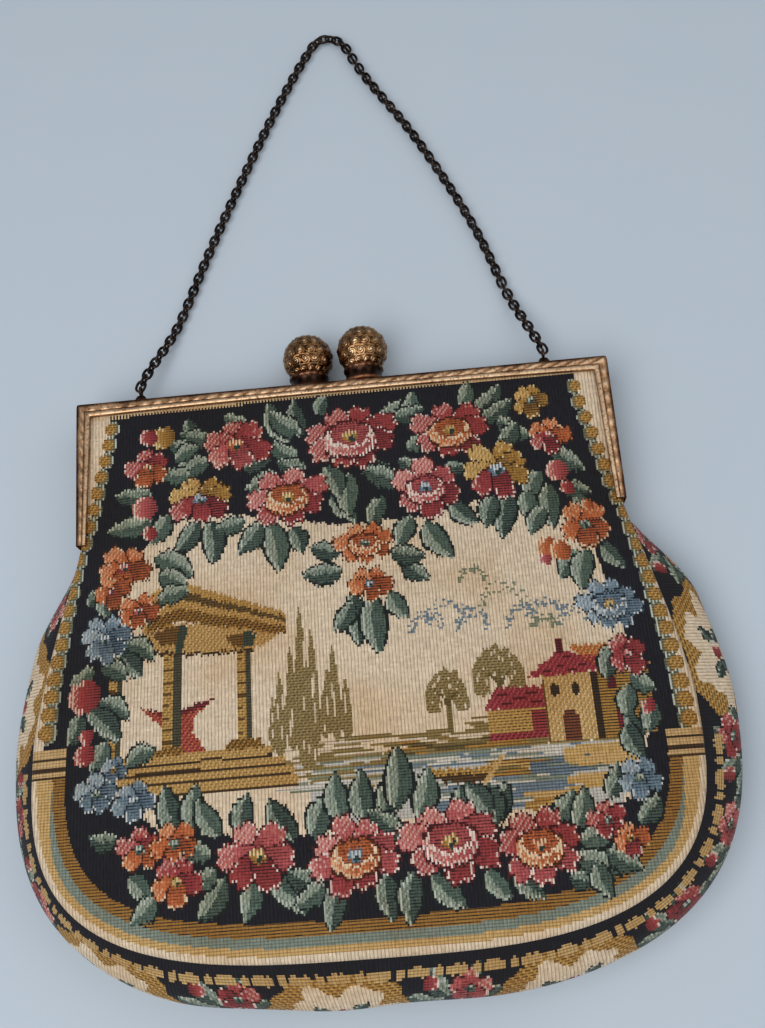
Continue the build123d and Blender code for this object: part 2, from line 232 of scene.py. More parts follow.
def srgb(red, green, blue):
    """Linear colour from screen values of 0 to 255."""
    c = np.array([red, green, blue]) / 255
    return np.where(c <= 0.04045, c / 12.92, ((c + 0.055) / 1.055)**2.4)


def rgba(*screen):
    """Linear colour with full alpha for a socket."""
    return (*srgb(*screen), 1)


class Graph:
    """Node material under construction."""

    def __init__(self, name):
        self.material = bpy.data.materials.new(name)
        self.material.use_nodes = True
        self.nodes = self.material.node_tree.nodes
        self.links = self.material.node_tree.links
        self.nodes.clear()
        self.output = self.nodes.new("ShaderNodeOutputMaterial")

    def node(self, kind, inputs, **settings):
        """Node with its settings, and its inputs set to values or joined to sockets."""
        made = self.nodes.new(kind)
        for key, value in settings.items():
            setattr(made, key, value)
        for key, value in inputs.items():
            if isinstance(value, bpy.types.NodeSocket):
                self.links.new(value, made.inputs[key])
            else:
                made.inputs[key].default_value = value
        return made

    def math(self, operation, *values):
        return self.node("ShaderNodeMath", dict(enumerate(values)), operation=operation).outputs[0]

    def times(self, first, second):
        return self.math("MULTIPLY", first, second)

    def wave(self, place, pitch):
        """Sine along a place in centimetres, with its pitch in millimetres."""
        return self.math("SINE", self.times(place, 2 * pi * 10 / pitch))

    def mix(self, share, first, second, blend="MIX"):
        inputs = {0: share, 6: first, 7: second}
        return self.node("ShaderNodeMix", inputs, data_type="RGBA", blend_type=blend).outputs[2]

    def ramp(self, value, low, high, first=0.0, last=1.0):
        """Value stretched so that low gives the first result and high the last."""
        inputs = {"Value": value, "From Min": low, "From Max": high, "To Min": first, "To Max": last}
        return self.node("ShaderNodeMapRange", inputs).outputs[0]

    def noise(self, vector, scale, detail=3.0):
        inputs = {"Vector": vector, "Scale": scale, "Detail": detail}
        return self.node("ShaderNodeTexNoise", inputs).outputs[0]

    def attribute(self, name, output="Fac"):
        return self.node("ShaderNodeAttribute", {}, attribute_name=name).outputs[output]

    def place(self):
        """Place on the object, in metres."""
        return self.node("ShaderNodeTexCoord", {}).outputs["Object"]

    def weave(self):
        """Place on the flat cloth, in centimetres, with its parts across and along it."""
        place = self.node("ShaderNodeUVMap", {}, uv_map="weave").outputs[0]
        parts = self.node("ShaderNodeSeparateXYZ", {0: place}).outputs
        return place, parts[0], parts[1]

    def bump(self, height, strength, distance):
        inputs = {"Height": height, "Strength": strength, "Distance": distance * MM}
        return self.node("ShaderNodeBump", inputs).outputs[0]

    def finish(self, **inputs):
        """Surface shader from named inputs, and the finished material."""
        named = {key.replace("_", " ").title().replace("Ior", "IOR"): inputs[key] for key in inputs}
        shader = self.node("ShaderNodeBsdfPrincipled", named)
        self.links.new(shader.outputs[0], self.output.inputs[0])
        return self.material


RIB_PITCH = 0.82
HATCH_PITCH = 0.68
THREAD_PITCH = 0.41


def tapestry_material(name):
    """Ribbed tapestry: coloured stitches, brown painted shade in the grooves between the ribs and dark
    hatching in the shade.
    """
    g = Graph(name)
    weave, across, along = g.weave()
    wobble = g.times(g.math("SUBTRACT", g.noise(weave, 5.0), 0.5), 0.022)
    along = g.math("ADD", along, g.times(wobble, 0.6))
    rib = g.wave(g.math("ADD", across, wobble), RIB_PITCH)
    line = g.wave(along, HATCH_PITCH)
    thread = g.wave(along, THREAD_PITCH)
    stitch = g.attribute("stitch", "Color")
    hatch = g.attribute("hatch")
    lull = g.math("SUBTRACT", 1.0, g.times(hatch, 0.75))
    # Painted shade: the grooves between the ribs are darkened brown, less where the stitches are hatched
    rib_groove_shade = g.times(g.ramp(rib, -0.45, -0.95), lull)
    fleck = g.noise(g.node("ShaderNodeMapping", {0: weave, "Scale": (30, 4, 1)}).outputs[0], 1.0, 4.0)
    shaded = g.mix(g.times(g.ramp(line, 0.0, 0.6), hatch), stitch, rgba(24, 24, 27))
    groove_shaded_colour = g.mix(g.times(rib_groove_shade, 0.6), shaded, rgba(158, 124, 88), "MULTIPLY")
    worn = g.mix(g.ramp(fleck, 0.35, 0.75), groove_shaded_colour, rgba(214, 208, 200), "MULTIPLY")
    soil = g.mix(g.ramp(g.noise(weave, 0.35), 0.45, 0.75), worn, rgba(238, 222, 200), "MULTIPLY")
    ribs = g.math("ADD", g.times(rib, 0.5), g.times(g.noise(weave, 40.0, 2.0), 0.7))
    height = g.math("ADD", ribs, g.times(thread, 0.12))
    height = g.math("SUBTRACT", height, g.times(g.times(line, hatch), 0.35))
    return g.finish(base_color=soil, roughness=g.ramp(fleck, -2.0, 0.9), sheen_weight=0.12,
                    sheen_roughness=0.5, specular_ior_level=0.25, normal=g.bump(height, 0.55, 0.16))


def metal_material(name, dark, mid, ridge_highlight, smooth, rough):
    """Aged metal: dark in its hollows, with a painted highlight on its ridges, stained and pitted."""
    g = Graph(name)
    place = g.place()
    stain = g.noise(place, 160.0, 6.0)
    speck = g.noise(place, 1400.0, 4.0)
    level = g.math("ADD", g.attribute("ridge"), g.times(g.math("SUBTRACT", stain, 0.5), 0.9))
    low = g.mix(g.ramp(level, 0.05, 0.5), rgba(*dark), rgba(*mid))
    # Painted highlight: the highest ridge values are lightened towards the highlight colour
    tone = g.mix(g.ramp(level, 0.55, 1.1), low, rgba(*ridge_highlight))
    pitted = g.mix(g.ramp(speck, 0.5, 0.72), tone, rgba(150, 130, 112), "MULTIPLY")
    roughness = g.ramp(g.math("ADD", stain, g.times(speck, 0.5)), 0.5, 1.0, smooth, rough)
    return g.finish(base_color=pitted, metallic=1.0, roughness=roughness, normal=g.bump(speck, 0.25, 0.05))


def satin_material(name):
    """Ivory satin with a fine twill."""
    g = Graph(name)
    weave, across, along = g.weave()
    twill = g.wave(g.math("ADD", across, along), THREAD_PITCH)
    soft = g.noise(weave, 0.8, 5.0)
    tone = g.mix(g.ramp(soft, 0.3, 0.75), rgba(214, 196, 164), rgba(186, 162, 126))
    height = g.math("ADD", g.times(twill, 0.3), soft)
    return g.finish(base_color=tone, roughness=g.ramp(soft, -0.5, 1.4), sheen_weight=0.2,
                    normal=g.bump(height, 0.3, 0.1))


# Screen colours of the hollows, the body and the painted highlight on the ridges, and the least and
# greatest roughness
METALS = {
    "frame_metal": ((84, 54, 40), (196, 152, 114), (246, 216, 178), 0.34, 0.54),
    "clasp_metal": ((44, 28, 20), (172, 126, 84), (255, 228, 186), 0.18, 0.38),
    "foot_metal": ((56, 34, 26), (128, 84, 60), (196, 142, 104), 0.34, 0.54),
    "dark_metal": ((34, 24, 20), (86, 60, 46), (150, 112, 86), 0.34, 0.56),
    "chain_metal": ((24, 20, 19), (62, 52, 48), (128, 108, 94), 0.32, 0.55),
}
TAPESTRY = tapestry_material("tapestry")
METAL = {name: metal_material(name, *look) for name, look in METALS.items()}
SATIN = satin_material("lining_satin")


# Tapestry design, drawn stitch by stitch from simple shapes

STITCH_WIDTH = 0.42
STITCH_HEIGHT = 0.54
STITCH_JAG = 1.0
STITCH_SEED = 7
RELIEF = 0.3
THREAD_RUN = 4
THREAD_WEAR = 0.16

NAVY = srgb(28, 28, 36)
CREAM = srgb(236, 217, 190)
STRAW = srgb(216, 178, 116)
BRONZE = srgb(166, 120, 56)
UMBER = srgb(70, 50, 28)
TEAL = srgb(138, 150, 138)
OLIVE = srgb(152, 130, 78)
MOSS = srgb(108, 92, 52)
LAKE = srgb(122, 140, 156)
FOAM = srgb(224, 218, 206)
BRICK = srgb(158, 52, 64)
SAGE = srgb(142, 150, 124)
PINE = srgb(66, 76, 62)
MIST = srgb(128, 146, 158)


def tones(dark, mid, light, rim):
    """Four tones of one thread colour, from the shade to the outline."""
    return np.array([srgb(*dark), srgb(*mid), srgb(*light), srgb(*rim)])


RED = tones((130, 44, 48), (166, 66, 66), (186, 96, 92), (238, 216, 204))
PINK = tones((150, 58, 62), (190, 92, 92), (214, 136, 128), (242, 224, 212))
ORANGE = tones((150, 72, 38), (200, 108, 62), (218, 140, 92), (240, 214, 180))
GOLD = tones((124, 88, 38), (180, 134, 62), (208, 168, 98), (236, 214, 164))
LEAF = tones((48, 64, 60), (90, 110, 98), (142, 156, 140), (196, 204, 190))
BLUE = tones((76, 96, 116), (118, 140, 156), (162, 180, 190), (216, 222, 224))


class Canvas:
    """Grid of stitches, each with a colour, a share of dark hatching and a height."""

    def __init__(self, x, y, ground, jag=STITCH_JAG):
        self.x = x
        self.y = y
        shape = (len(y), len(x))
        self.colour = np.broadcast_to(ground, (*shape, 3)).copy()
        self.hatch = np.zeros(shape)
        self.height = np.zeros(shape)
        self.random = np.random.default_rng(STITCH_SEED)
        self.jag = self.random.uniform(-0.5, 0.5, shape[1]) * jag
        self.grain = self.random.uniform(0, 1, shape)
        rows, columns = np.indices(shape)
        self.twill = (rows + 2 * columns) % 3 == 0
        self.tooth = columns % 2 == 0
        runs = self.random.uniform(0, 1, (shape[0], shape[1] // THREAD_RUN + 1))
        self.streak = np.repeat(runs, THREAD_RUN, 1)[:, :shape[1]]

    def window(self, x0, x1, y0, y1):
        """Stitches of a region, with their places, whose ends are jagged from rib to rib."""
        columns = slice(*np.searchsorted(self.x, (x0, x1)))
        rows = slice(*np.searchsorted(self.y, (y0, y1)))
        x, y = np.meshgrid(self.x[columns], self.y[rows])
        return (rows, columns), x, y + self.jag[columns]

    def level(self, region):
        """Places of a region's stitches along the bag, without the jag."""
        return np.broadcast_to(self.y[region[0]][:, None], self.hatch[region].shape)

    def turned(self, x, y, turn, length, width, reach):
        """Stitches round a motif's root, with their shares along it and across each half of it."""
        span = length * reach
        region, px, py = self.window(x - span, x + span, y - span, y + span)
        along = ((px - x) * cos(turn) + (py - y) * sin(turn)) / length
        return region, along, ((py - y) * cos(turn) - (px - x) * sin(turn)) * 2 / width

    def fill(self, region, mask, colour, hatch=0.0, height=0.0):
        """Stitches of a region where the mask holds, with values for all of them or one for each."""
        for layer, value in ((self.colour, colour), (self.hatch, hatch), (self.height, height)):
            view = layer[region]
            view[mask] = value[mask] if np.shape(value) == view.shape else value

    def paint(self, region, mask, colour, hatch=0.0, height=0.0, fleck=None):
        """Plain area with flecks of a second colour."""
        self.fill(region, mask, colour, hatch, height)
        if fleck is not None:
            self.fill(region, mask & self.twill[region], fleck, hatch * 0.4, height)

    def shade(self, region, mask, thread, light, height):
        """Thread shaded from dark and hatched to light and flecked with its pale tone."""
        light = np.clip(light, 0, 1)
        share = 2 * light[..., None]
        colour = np.where(share < 1, thread[0] + (thread[1] - thread[0]) * share,
                          thread[1] + (thread[2] - thread[1]) * (share - 1))
        fleck = self.twill[region] & (light > 0.62)
        colour = np.where(fleck[..., None], colour * 0.55 + thread[3] * 0.45, colour)
        self.fill(region, mask, colour, np.clip(1.9 * (0.66 - light), 0, 0.95), height)

    def age(self):
        """Old threads: runs and single stitches a little lighter or darker than their neighbours."""
        uneven = self.streak - 0.5 + 0.8 * (self.grain - 0.5)
        self.colour *= 1 + THREAD_WEAR * uneven[..., None]
        self.hatch *= 0.7 + 0.6 * self.streak


def petal(canvas, x, y, turn, length, width, thread, light):
    """Round lobe on a narrow root, outlined in the dark, with a pale comb along a lower edge."""
    region, u, v = canvas.turned(x, y, turn, length, width, 1.2)
    out = u - 0.6
    notch = 0.12 * np.exp(-(v / 0.28)**2)
    edge = (out / np.where(out > 0, 0.4 - notch, 0.64))**2 + v**2
    grain = canvas.grain[region]
    canvas.fill(region, edge < 1.24, thread[0] * 0.3, 0.6, 0.1)
    lit = light + 0.45 * (u - 0.5) + 0.2 * (grain - 0.5)
    canvas.shade(region, edge < 1, thread, lit, 0.3 + 0.7 * np.clip(1 - edge, 0, 1)**0.7)
    rim = 0.9 - 0.26 * max(0, -sin(turn)) - 0.06 * light
    comb = (canvas.tooth[region] | (edge > 0.94)) & (grain > 0.2)
    canvas.fill(region, (edge < 1) & (edge > rim) & (u > 0.4) & comb, thread[3], 0.0, 0.35)


def cup(canvas, x, y, radius, thread):
    """Open middle of a double flower: a hatched hollow with a pale crescent under it."""
    wide, tall = 0.5 * radius, 0.36 * radius
    region, px, py = canvas.window(x - wide, x + wide, y - 1.2 * tall, y + 1.2 * tall)
    off = np.hypot((px - x) / wide, (py - y) / tall)
    hollow = np.hypot((px - x) / wide, (py - y) / tall - 0.42)
    grain = canvas.grain[region]
    lit = 0.62 - 0.3 * (px - x) / wide + 0.3 * (grain - 0.5)
    canvas.fill(region, off < 1.15, thread[0] * 0.3, 0.6, 0.2)
    canvas.shade(region, off < 1, thread, lit, 0.6 + 0.3 * off)
    canvas.shade(region, (off < 1) & (hollow < 0.78), thread, 0.18 + 0.3 * grain, 0.35)
    canvas.fill(region, (off < 1) & (np.abs(hollow - 0.82) < 0.1) & (grain > 0.25), thread[3], 0.0, 0.7)
    canvas.fill(region, (off < 1) & (off > 0.82) & (py < y) & canvas.tooth[region], thread[3], 0.0, 0.5)


def flower(canvas, x, y, radius, count, thread, heart, squash=0.84, inner=None, lower=None, turn=0.3):
    """Flower of uneven petals round a heart, lit from the left, with a cup where it is double."""
    angles = turn + 2 * pi * (np.arange(count) + canvas.random.uniform(-0.14, 0.14, count)) / count
    for angle in sorted(angles, key=sin, reverse=True):
        uneven = canvas.random.uniform(0.84, 1.06)
        length = uneven * radius * hypot(cos(angle), squash * sin(angle))
        width = (2.5 + uneven / 2 + 0.09 * count) * radius / count
        light = 0.46 + 0.26 * cos(angle - 2.5) + canvas.random.uniform(-0.14, 0.14)
        cast = lower if lower is not None and sin(angle) < -0.35 else thread
        aim = np.arctan2(squash * sin(angle), cos(angle))
        petal(canvas, x, y, aim, length, width, cast, light)
    if inner is not None:
        cup(canvas, x, y - 0.06 * radius, radius, inner)
    core = radius * (0.16 if inner is not None else 0.2)
    region, px, py = canvas.window(x - core, x + core, y - core, y + core)
    off = np.hypot(px - x, (py - y) / squash) / core
    canvas.shade(region, off < 1, heart, 0.9 - 0.6 * off, 0.9)
    canvas.fill(region, (off < 1) & canvas.tooth[region] & (py > y), heart[3], 0.0, 0.8)
    canvas.fill(region, np.hypot(px - x - core * 0.2, py - y + core * 0.3) < core * 0.4, LEAF[0], 0.3, 0.7)


def leaf(canvas, x, y, turn, length, width, light=0.5):
    """Rounded leaf: a flecked light half and a hatched dark half."""
    region, u, v = canvas.turned(x, y, turn, length, width, 1.05)
    v = v + 0.25 * np.sin(pi * np.clip(u, 0, 1)) * (1 if x > 0 else -1)
    half = np.sin(pi * np.clip(u, 0, 1)**0.8)**0.75
    along = (u > 0) & (u < 1)
    inside = along & (np.abs(v) < half)
    side = v * (1 if 0.7 * cos(turn) + 0.7 * sin(turn) > 0 else -1)
    canvas.fill(region, along & (np.abs(v) < half * 1.2 + 0.08), LEAF[0] * 0.35, 0.5, 0.05)
    lit = light + np.where(side > 0.05, 0.36, -0.12) + 0.2 * (canvas.grain[region] - 0.5)
    canvas.shade(region, inside, LEAF, lit, 0.3 + 0.5 * np.clip(half - np.abs(v), 0, 1))
    pale = inside & (np.abs(v) > half - 0.28) & (side > 0) & canvas.tooth[region]
    canvas.fill(region, pale, LEAF[3], 0.0, 0.3)


def bud(canvas, x, y, radius, thread):
    """Round bud or berry."""
    region, px, py = canvas.window(x - radius, x + radius, y - radius, y + radius)
    off = np.hypot(px - x, py - y) / radius
    canvas.shade(region, off < 1, thread, 0.85 - 0.35 * (px - x + radius) / radius, 1 - off**2)
    canvas.fill(region, (off < 1) & (off > 0.7) & (px < x) & canvas.tooth[region], thread[3], 0.0, 0.4)


def patch(canvas, x0, x1, y0, y1, *look):
    """Upright rectangle with straight ends."""
    region = canvas.window(x0, x1, y0 - 1, y1 + 1)[0]
    level = canvas.level(region)
    canvas.paint(region, (level > y0) & (level < y1), *look)


def polygon(canvas, corners, *look):
    """Area inside a loop of corners."""
    xs, ys = np.array(corners, float).T
    region, px, py = canvas.window(xs.min(), xs.max(), ys.min(), ys.max())
    inside = np.zeros(px.shape, bool)
    for ax, ay, bx, by in zip(np.roll(xs, 1), np.roll(ys, 1), xs, ys):
        if ay != by:
            inside ^= ((ay > py) != (by > py)) & (px < (bx - ax) * (py - ay) / (by - ay) + ax)
    canvas.paint(region, inside, *look)


def draw(canvas, *shapes):
    """Rectangles, given by four numbers, and polygons, given by their corners, each with its look."""
    for outline, *look in shapes:
        if np.ndim(outline) == 1:
            patch(canvas, *outline, *look)
        else:
            polygon(canvas, outline, *look)


def strokes(canvas, x0, x1, y0, y1, colours, count, length, hatch=0.0):
    """Loose level strokes of several colours."""
    for k in range(count):
        x = canvas.random.uniform(x0, x1)
        y = canvas.random.uniform(y0, y1)
        reach = length * canvas.random.uniform(0.3, 1)
        left, right = max(x0, x - reach), min(x1, x + reach)
        patch(canvas, left, right, y, y + STITCH_HEIGHT, colours[k % len(colours)], hatch, 0.15)


def temple(canvas):
    """Garden temple: a slanted roof on columns, a stepped base and a red urn."""
    wall = GOLD[1] * 0.6 + GOLD[2] * 0.4
    shadow = PINE * 0.7 + GOLD[0] * 0.3
    draw(canvas,
         (((-52.5, -3), (-43, -4.8), (-33.4, -1.6), (-38.6, -6.4), (-39.2, -10), (-35, -15.4),
           (-44, -15.6), (-46, -8)), RED[1], 0.6, 0.4, ORANGE[1]),
         (((-52.5, -3), (-43, -4.8), (-33.4, -1.6), (-36, -4), (-43, -6.4)), RED[0], 0.8, 0.4),
         (((-52, -16), (-45, -12.4), (-45, -16)), RED[1], 0.6, 0.4))
    for x0, x1, low, high in ((-60, -57, -16, 12), (-46.4, -43.8, -15, 12), (-28.6, -26.0, -14, 10)):
        patch(canvas, x0, x1, low, high, wall, 0.6, 0.4, GOLD[2])
        for y in np.arange(low, high, 2.9):
            patch(canvas, x0, x1 - canvas.random.uniform(0, 1.4), y, y + 0.6, GOLD[0] * 0.7, 0.5, 0.3)
    draw(canvas,
         ((-44.0, -42.0, -15, 12), shadow, 0.8, 0.4, PINE),
         ((-26.4, -25.0, -14, 10), shadow, 0.8, 0.4, PINE),
         ((-57.6, -56.4, -16, 12), shadow, 0.8, 0.4, PINE),
         (((-52, 18), (-16.5, 14.5), (-17.5, 12.8), (-22, 9.6), (-29, 8.6), (-41, 9.6), (-51.5, 12)),
          wall, 0.3, 0.45, GOLD[2] * 0.7 + CREAM * 0.3),
         (((-51.5, 10.6), (-41, 8.8), (-24, 8.2), (-24, 8.9), (-41, 9.6), (-51.5, 11.6)), UMBER, 0.5, 0.4),
         (((-50, 15.6), (-42.4, 17), (-41.6, 12.4), (-46.5, 12)), GOLD[0], 0.8, 0.45),
         (((-42.6, 16.8), (-40.4, 16.6), (-41.8, 9.8), (-43.8, 9.8)), PINE, 0.6, 0.45),
         (((-31.4, 13), (-26.4, 13.2), (-26.4, 9.6), (-29, 9.6)), GOLD[0], 0.7, 0.45),
         (((-26.6, 13.4), (-23.4, 13), (-24.6, 9.4), (-27, 9.4)), PINE, 0.5, 0.45))
    for top, thick, colour, hatch, fleck in (
            (0, 3.0, wall, 0.3, GOLD[2]), (2.4, 2.4, MOSS * 0.8, 0.8, GOLD[0]),
            (4.6, 2.6, wall, 0.4, STRAW), (6.8, 3.4, GOLD[0], 0.9, GOLD[1])):
        end = -50 - top * 0.1
        left = 28.4 - top * 1.05
        right = 17.4 - top * 0.5
        polygon(canvas, ((end, left - 2.5), (-43, left), (-16.4, right), (-16.4, right - thick * 0.6),
                         (-43, left - thick), (end, left - 2.0 - thick)), colour, hatch, 0.5, fleck)
    for right, y in ((-20.5, -14.6), (-17.4, -17.0), (-15.4, -19.4), (-14.4, -21.8)):
        patch(canvas, -58, right, y - 2.4, y, wall, 0.35, 0.4, GOLD[2] * 0.8 + CREAM * 0.2)
        for x0 in np.arange(-58, right, 5.2):
            sag = canvas.random.uniform(-0.3, 0.3)
            patch(canvas, x0, min(right, x0 + 5.2), y - 2.5 + sag, y - 1.8 + sag, UMBER, 0.6, 0.3)
    draw(canvas,
         (((-31.8, -14.8), (-22, -14.8), (-23.4, -12.2), (-30, -12.2)), GOLD[0], 0.7, 0.4, GOLD[1]),
         (((-49, -15), (-41, -15), (-42, -13), (-47.6, -13)), GOLD[0], 0.7, 0.4, GOLD[1]))


FLAMES = ((-20.2, -16, -3, 0.9), (-18.4, -18, 3, 1.4), (-15.6, -16, 9, 1.4), (-10.4, -17, 12.5, 1.5),
          (-13, -19, 18.5, 1.8), (-8, -14, -2, 1.1), (-7, -13, 3, 1.1), (-5.4, -15, 8.5, 1.4),
          (-2.8, -15, 0.5, 1.3), (-12, -21, -6, 2.2))


def flame(canvas, x, low, high, half):
    """Pointed upright tuft of a tree, slit by pale dashes."""
    region, px, py = canvas.window(x - half, x + half, low, high)
    rise = np.clip((py - low) / (high - low), 0, 1)
    inside = np.abs(px - x) < half * np.sin(pi * rise**0.6)**0.7
    canvas.fill(region, inside, OLIVE, 0.65, 0.25)
    canvas.fill(region, inside & canvas.twill[region], OLIVE * 0.85 + CREAM * 0.15, 0.3, 0.25)
    for k in range(3):
        slit = x + canvas.random.uniform(-0.6, 0.6) * half
        foot = low + canvas.random.uniform(0.1, 0.7) * (high - low)
        patch(canvas, slit, slit + STITCH_WIDTH, foot, foot + 0.16 * (high - low), CREAM, 0.2)


def round_trees(canvas):
    """Two round trees with open crowns and pointed tops."""
    for x, y, size in ((20.8, -6.4, 6.0), (33.0, -2.6, 6.8)):
        for k in range(7):
            angle = pi * (k - 0.5) / 5
            reach = size * canvas.random.uniform(0.5, 0.66)
            tuft = y + reach * sin(angle)
            flame(canvas, x + reach * cos(angle), tuft - 0.5 * size, tuft + 0.55 * size, 0.3 * size)
        patch(canvas, x - 0.5, x + 0.7, y - 1.7 * size, y + 0.2 * size, OLIVE * 0.6 + MOSS * 0.4, 0.5, 0.25)
        for side in (-1, 1):
            branch = ((x, y - 0.5 * size), (x + side * 0.5 * size, y + 0.3 * size), (x, y - 0.2 * size))
            polygon(canvas, branch, MOSS, 0.4, 0.25)
        strokes(canvas, x - 1.3 * size, x + 1.3 * size, y - 1.9 * size, y - 1.4 * size,
                (OLIVE, CREAM, OLIVE), 16, 4.0, 0.5)


def clouds(canvas):
    """Thin clouds sketched in dotted arcs."""
    for x, y, reach, rise, colour in ((17, 9, 4, 5, MIST), (22, 11, 5, 5.6, MIST), (28, 9, 4, 5, MIST),
                                      (36, 14, 6, 6, SAGE), (29, 21, 3.6, 4, SAGE), (40, 8.5, 4, 6, MIST),
                                      (46, 11, 5, 4, MIST), (52, 9, 4, 4, MIST), (45, 8.5, 3, 2.6, SAGE)):
        for angle in np.linspace(0.1, pi - 0.1, 15):
            for layer in (1.0, 0.78):
                px = x + reach * layer * cos(angle) + canvas.random.uniform(-0.5, 0.5)
                py = y + rise * layer * sin(angle) + canvas.random.uniform(-0.7, 0.7)
                patch(canvas, px, px + 1.6 * STITCH_WIDTH, py, py + 1.1 * STITCH_HEIGHT, colour, 0.3)


def cottage(canvas):
    """Red-roofed cottage with a tower and two wings."""
    wall = GOLD[2] * 0.75 + GOLD[1] * 0.25
    tile = BRICK * 0.9
    tile_fleck = PINK[1] * 0.7 + BRICK * 0.3
    door = RED[0] * 0.5 + GOLD[0] * 0.5
    draw(canvas,
         ((56, 68, -18.5, -2), GOLD[1], 0.95, 0.4),
         (((50, 3.8), (60, 3.6), (69, -2.4), (56, -2.8)), ORANGE[1], 0.4, 0.45, GOLD[2]),
         (((52, 1.4), (66, 0.2), (69, -2.6), (56.6, -2.8)), tile, 0.45, 0.45, ORANGE[1]),
         ((29.5, 43, -17.5, -10.5), wall, 0.75, 0.4, GOLD[2]),
         ((39.6, 43, -16.8, -11.4), RED[1], 0.9, 0.4),
         ((29.5, 43, -17.7, -16.4), tile, 0.7, 0.4, tile_fleck),
         (((28.6, -10.8), (32.4, -5.4), (43.5, -5.8), (43.5, -11)), tile, 0.3, 0.5, tile_fleck))
    for x, y in ((32, -7.6), (36, -8.8), (33, -9.8), (39, -7.4), (40, -9.6)):
        patch(canvas, x, x + 2.6, y, y + 0.6, RED[0] * 0.5, 0.3, 0.5)
    draw(canvas,
         ((42.8, 54.6, -18.8, -3), wall, 0.2, 0.5, GOLD[2] * 0.5 + CREAM * 0.5),
         ((42.8, 43.6, -18.8, -4), GOLD[0], 0.6, 0.45),
         ((54.4, 56.2, -18.8, -3), UMBER * 0.8, 0.8, 0.4),
         (((39.2, -3.8), (47.2, 2.4), (50.8, 2.2), (57.4, -2.8)), tile, 0.2, 0.55, tile_fleck))
    for x, y in ((43.4, -2.6), (46.6, -1.4), (49.4, -2.8), (48.4, 0.4), (52, -1.6)):
        patch(canvas, x, x + 2.0, y, y + 0.6, RED[0] * 0.5, 0.3, 0.55)
    patch(canvas, 47.2, 48.8, 1.5, 5.6, RED[0] * 0.7, 0.7, 0.55)
    for x in (44.8, 49.8):
        patch(canvas, x, x + 1.8, -8.2, -5.8, UMBER, 0.8, 0.3)
        patch(canvas, x + 0.5, x + 1.3, -8.8, -5.2, UMBER, 0.8, 0.3)
    draw(canvas,
         ((46.6, 50.6, -18.8, -13), door, 0.95, 0.35),
         ((47.4, 49.8, -13.2, -11.6), door, 0.95, 0.35),
         ((59.5, 62.5, -16.5, -11.5), BRICK * 0.7, 0.9, 0.35),
         ((58.2, 60.4, -7.4, -4.6), RED[0] * 0.6, 0.9, 0.3))


def lake(canvas):
    """Banks and water in long level strokes, with a boat."""
    patch(canvas, -12, 58, -33.5, -19.2, FOAM * 0.75 + LAKE * 0.25, 0.25, 0.15)
    for area, colours, count, length, hatch in (
            ((-20, 44, -18.6, -14.6), (OLIVE, CREAM, OLIVE, CREAM), 60, 7.0, 0.5),
            ((6, 60, -19.8, -16.8), (OLIVE, GOLD[1], MOSS, OLIVE), 60, 9.0, 0.6),
            ((-12, 50, -22.6, -19.6), (FOAM, LAKE, FOAM, TEAL), 90, 9.0, 0.4),
            ((12, 50, -33, -26.4), (LAKE, FOAM, LAKE, TEAL), 120, 9.0, 0.55),
            ((-20, 6, -26, -18.6), (OLIVE, FOAM, SAGE, OLIVE, FOAM), 90, 6.0, 0.4),
            ((28, 46, -26, -22.6), (GOLD[1], OLIVE, GOLD[2]), 46, 7.0, 0.8),
            ((38, 56, -26.4, -22.4), (LAKE * 0.8, TEAL, LAKE), 34, 7.0, 0.7),
            ((46, 63, -25, -20.4), (STRAW, GOLD[2], STRAW), 60, 6.0, 0.3),
            ((46, 60, -30, -27), (STRAW, GOLD[2]), 40, 5.0, 0.3),
            ((36, 50, -34.5, -30), (STRAW, GOLD[1], GOLD[2]), 50, 5.0, 0.5)):
        strokes(canvas, *area, colours, count, length, hatch)
    draw(canvas,
         (((14, -22.4), (18, -25.4), (28, -26), (32, -22.6), (30, -22.2), (27, -23.6), (18, -23)),
          GOLD[1], 0.6, 0.4, GOLD[2]),
         (((16, -24.2), (19, -26.4), (27, -26.8), (29.4, -25)), UMBER * 0.7 + GOLD[0] * 0.3, 0.8, 0.4),
         (((25.8, -28.4), (31.6, -21.2), (32.6, -21.6), (27, -28.6)), STRAW, 0.3, 0.4))


def landscape(canvas):
    """Pale sky in the middle of the panel, with clouds, trees, a temple, a cottage and a lake."""
    polygon(canvas, ((-52, 38), (-46, 44), (-33, 46), (-15, 42), (0, 39), (20, 40), (38, 44), (53, 41),
                     (60, 28), (64, 8), (66, -18), (62, -32), (40, -37), (0, -36), (-30, -34), (-48, -31),
                     (-59, -20), (-60, 4), (-58, 22)), CREAM)
    clouds(canvas)
    lake(canvas)
    for tuft in FLAMES:
        flame(canvas, *tuft)
    round_trees(canvas)
    temple(canvas)
    cottage(canvas)


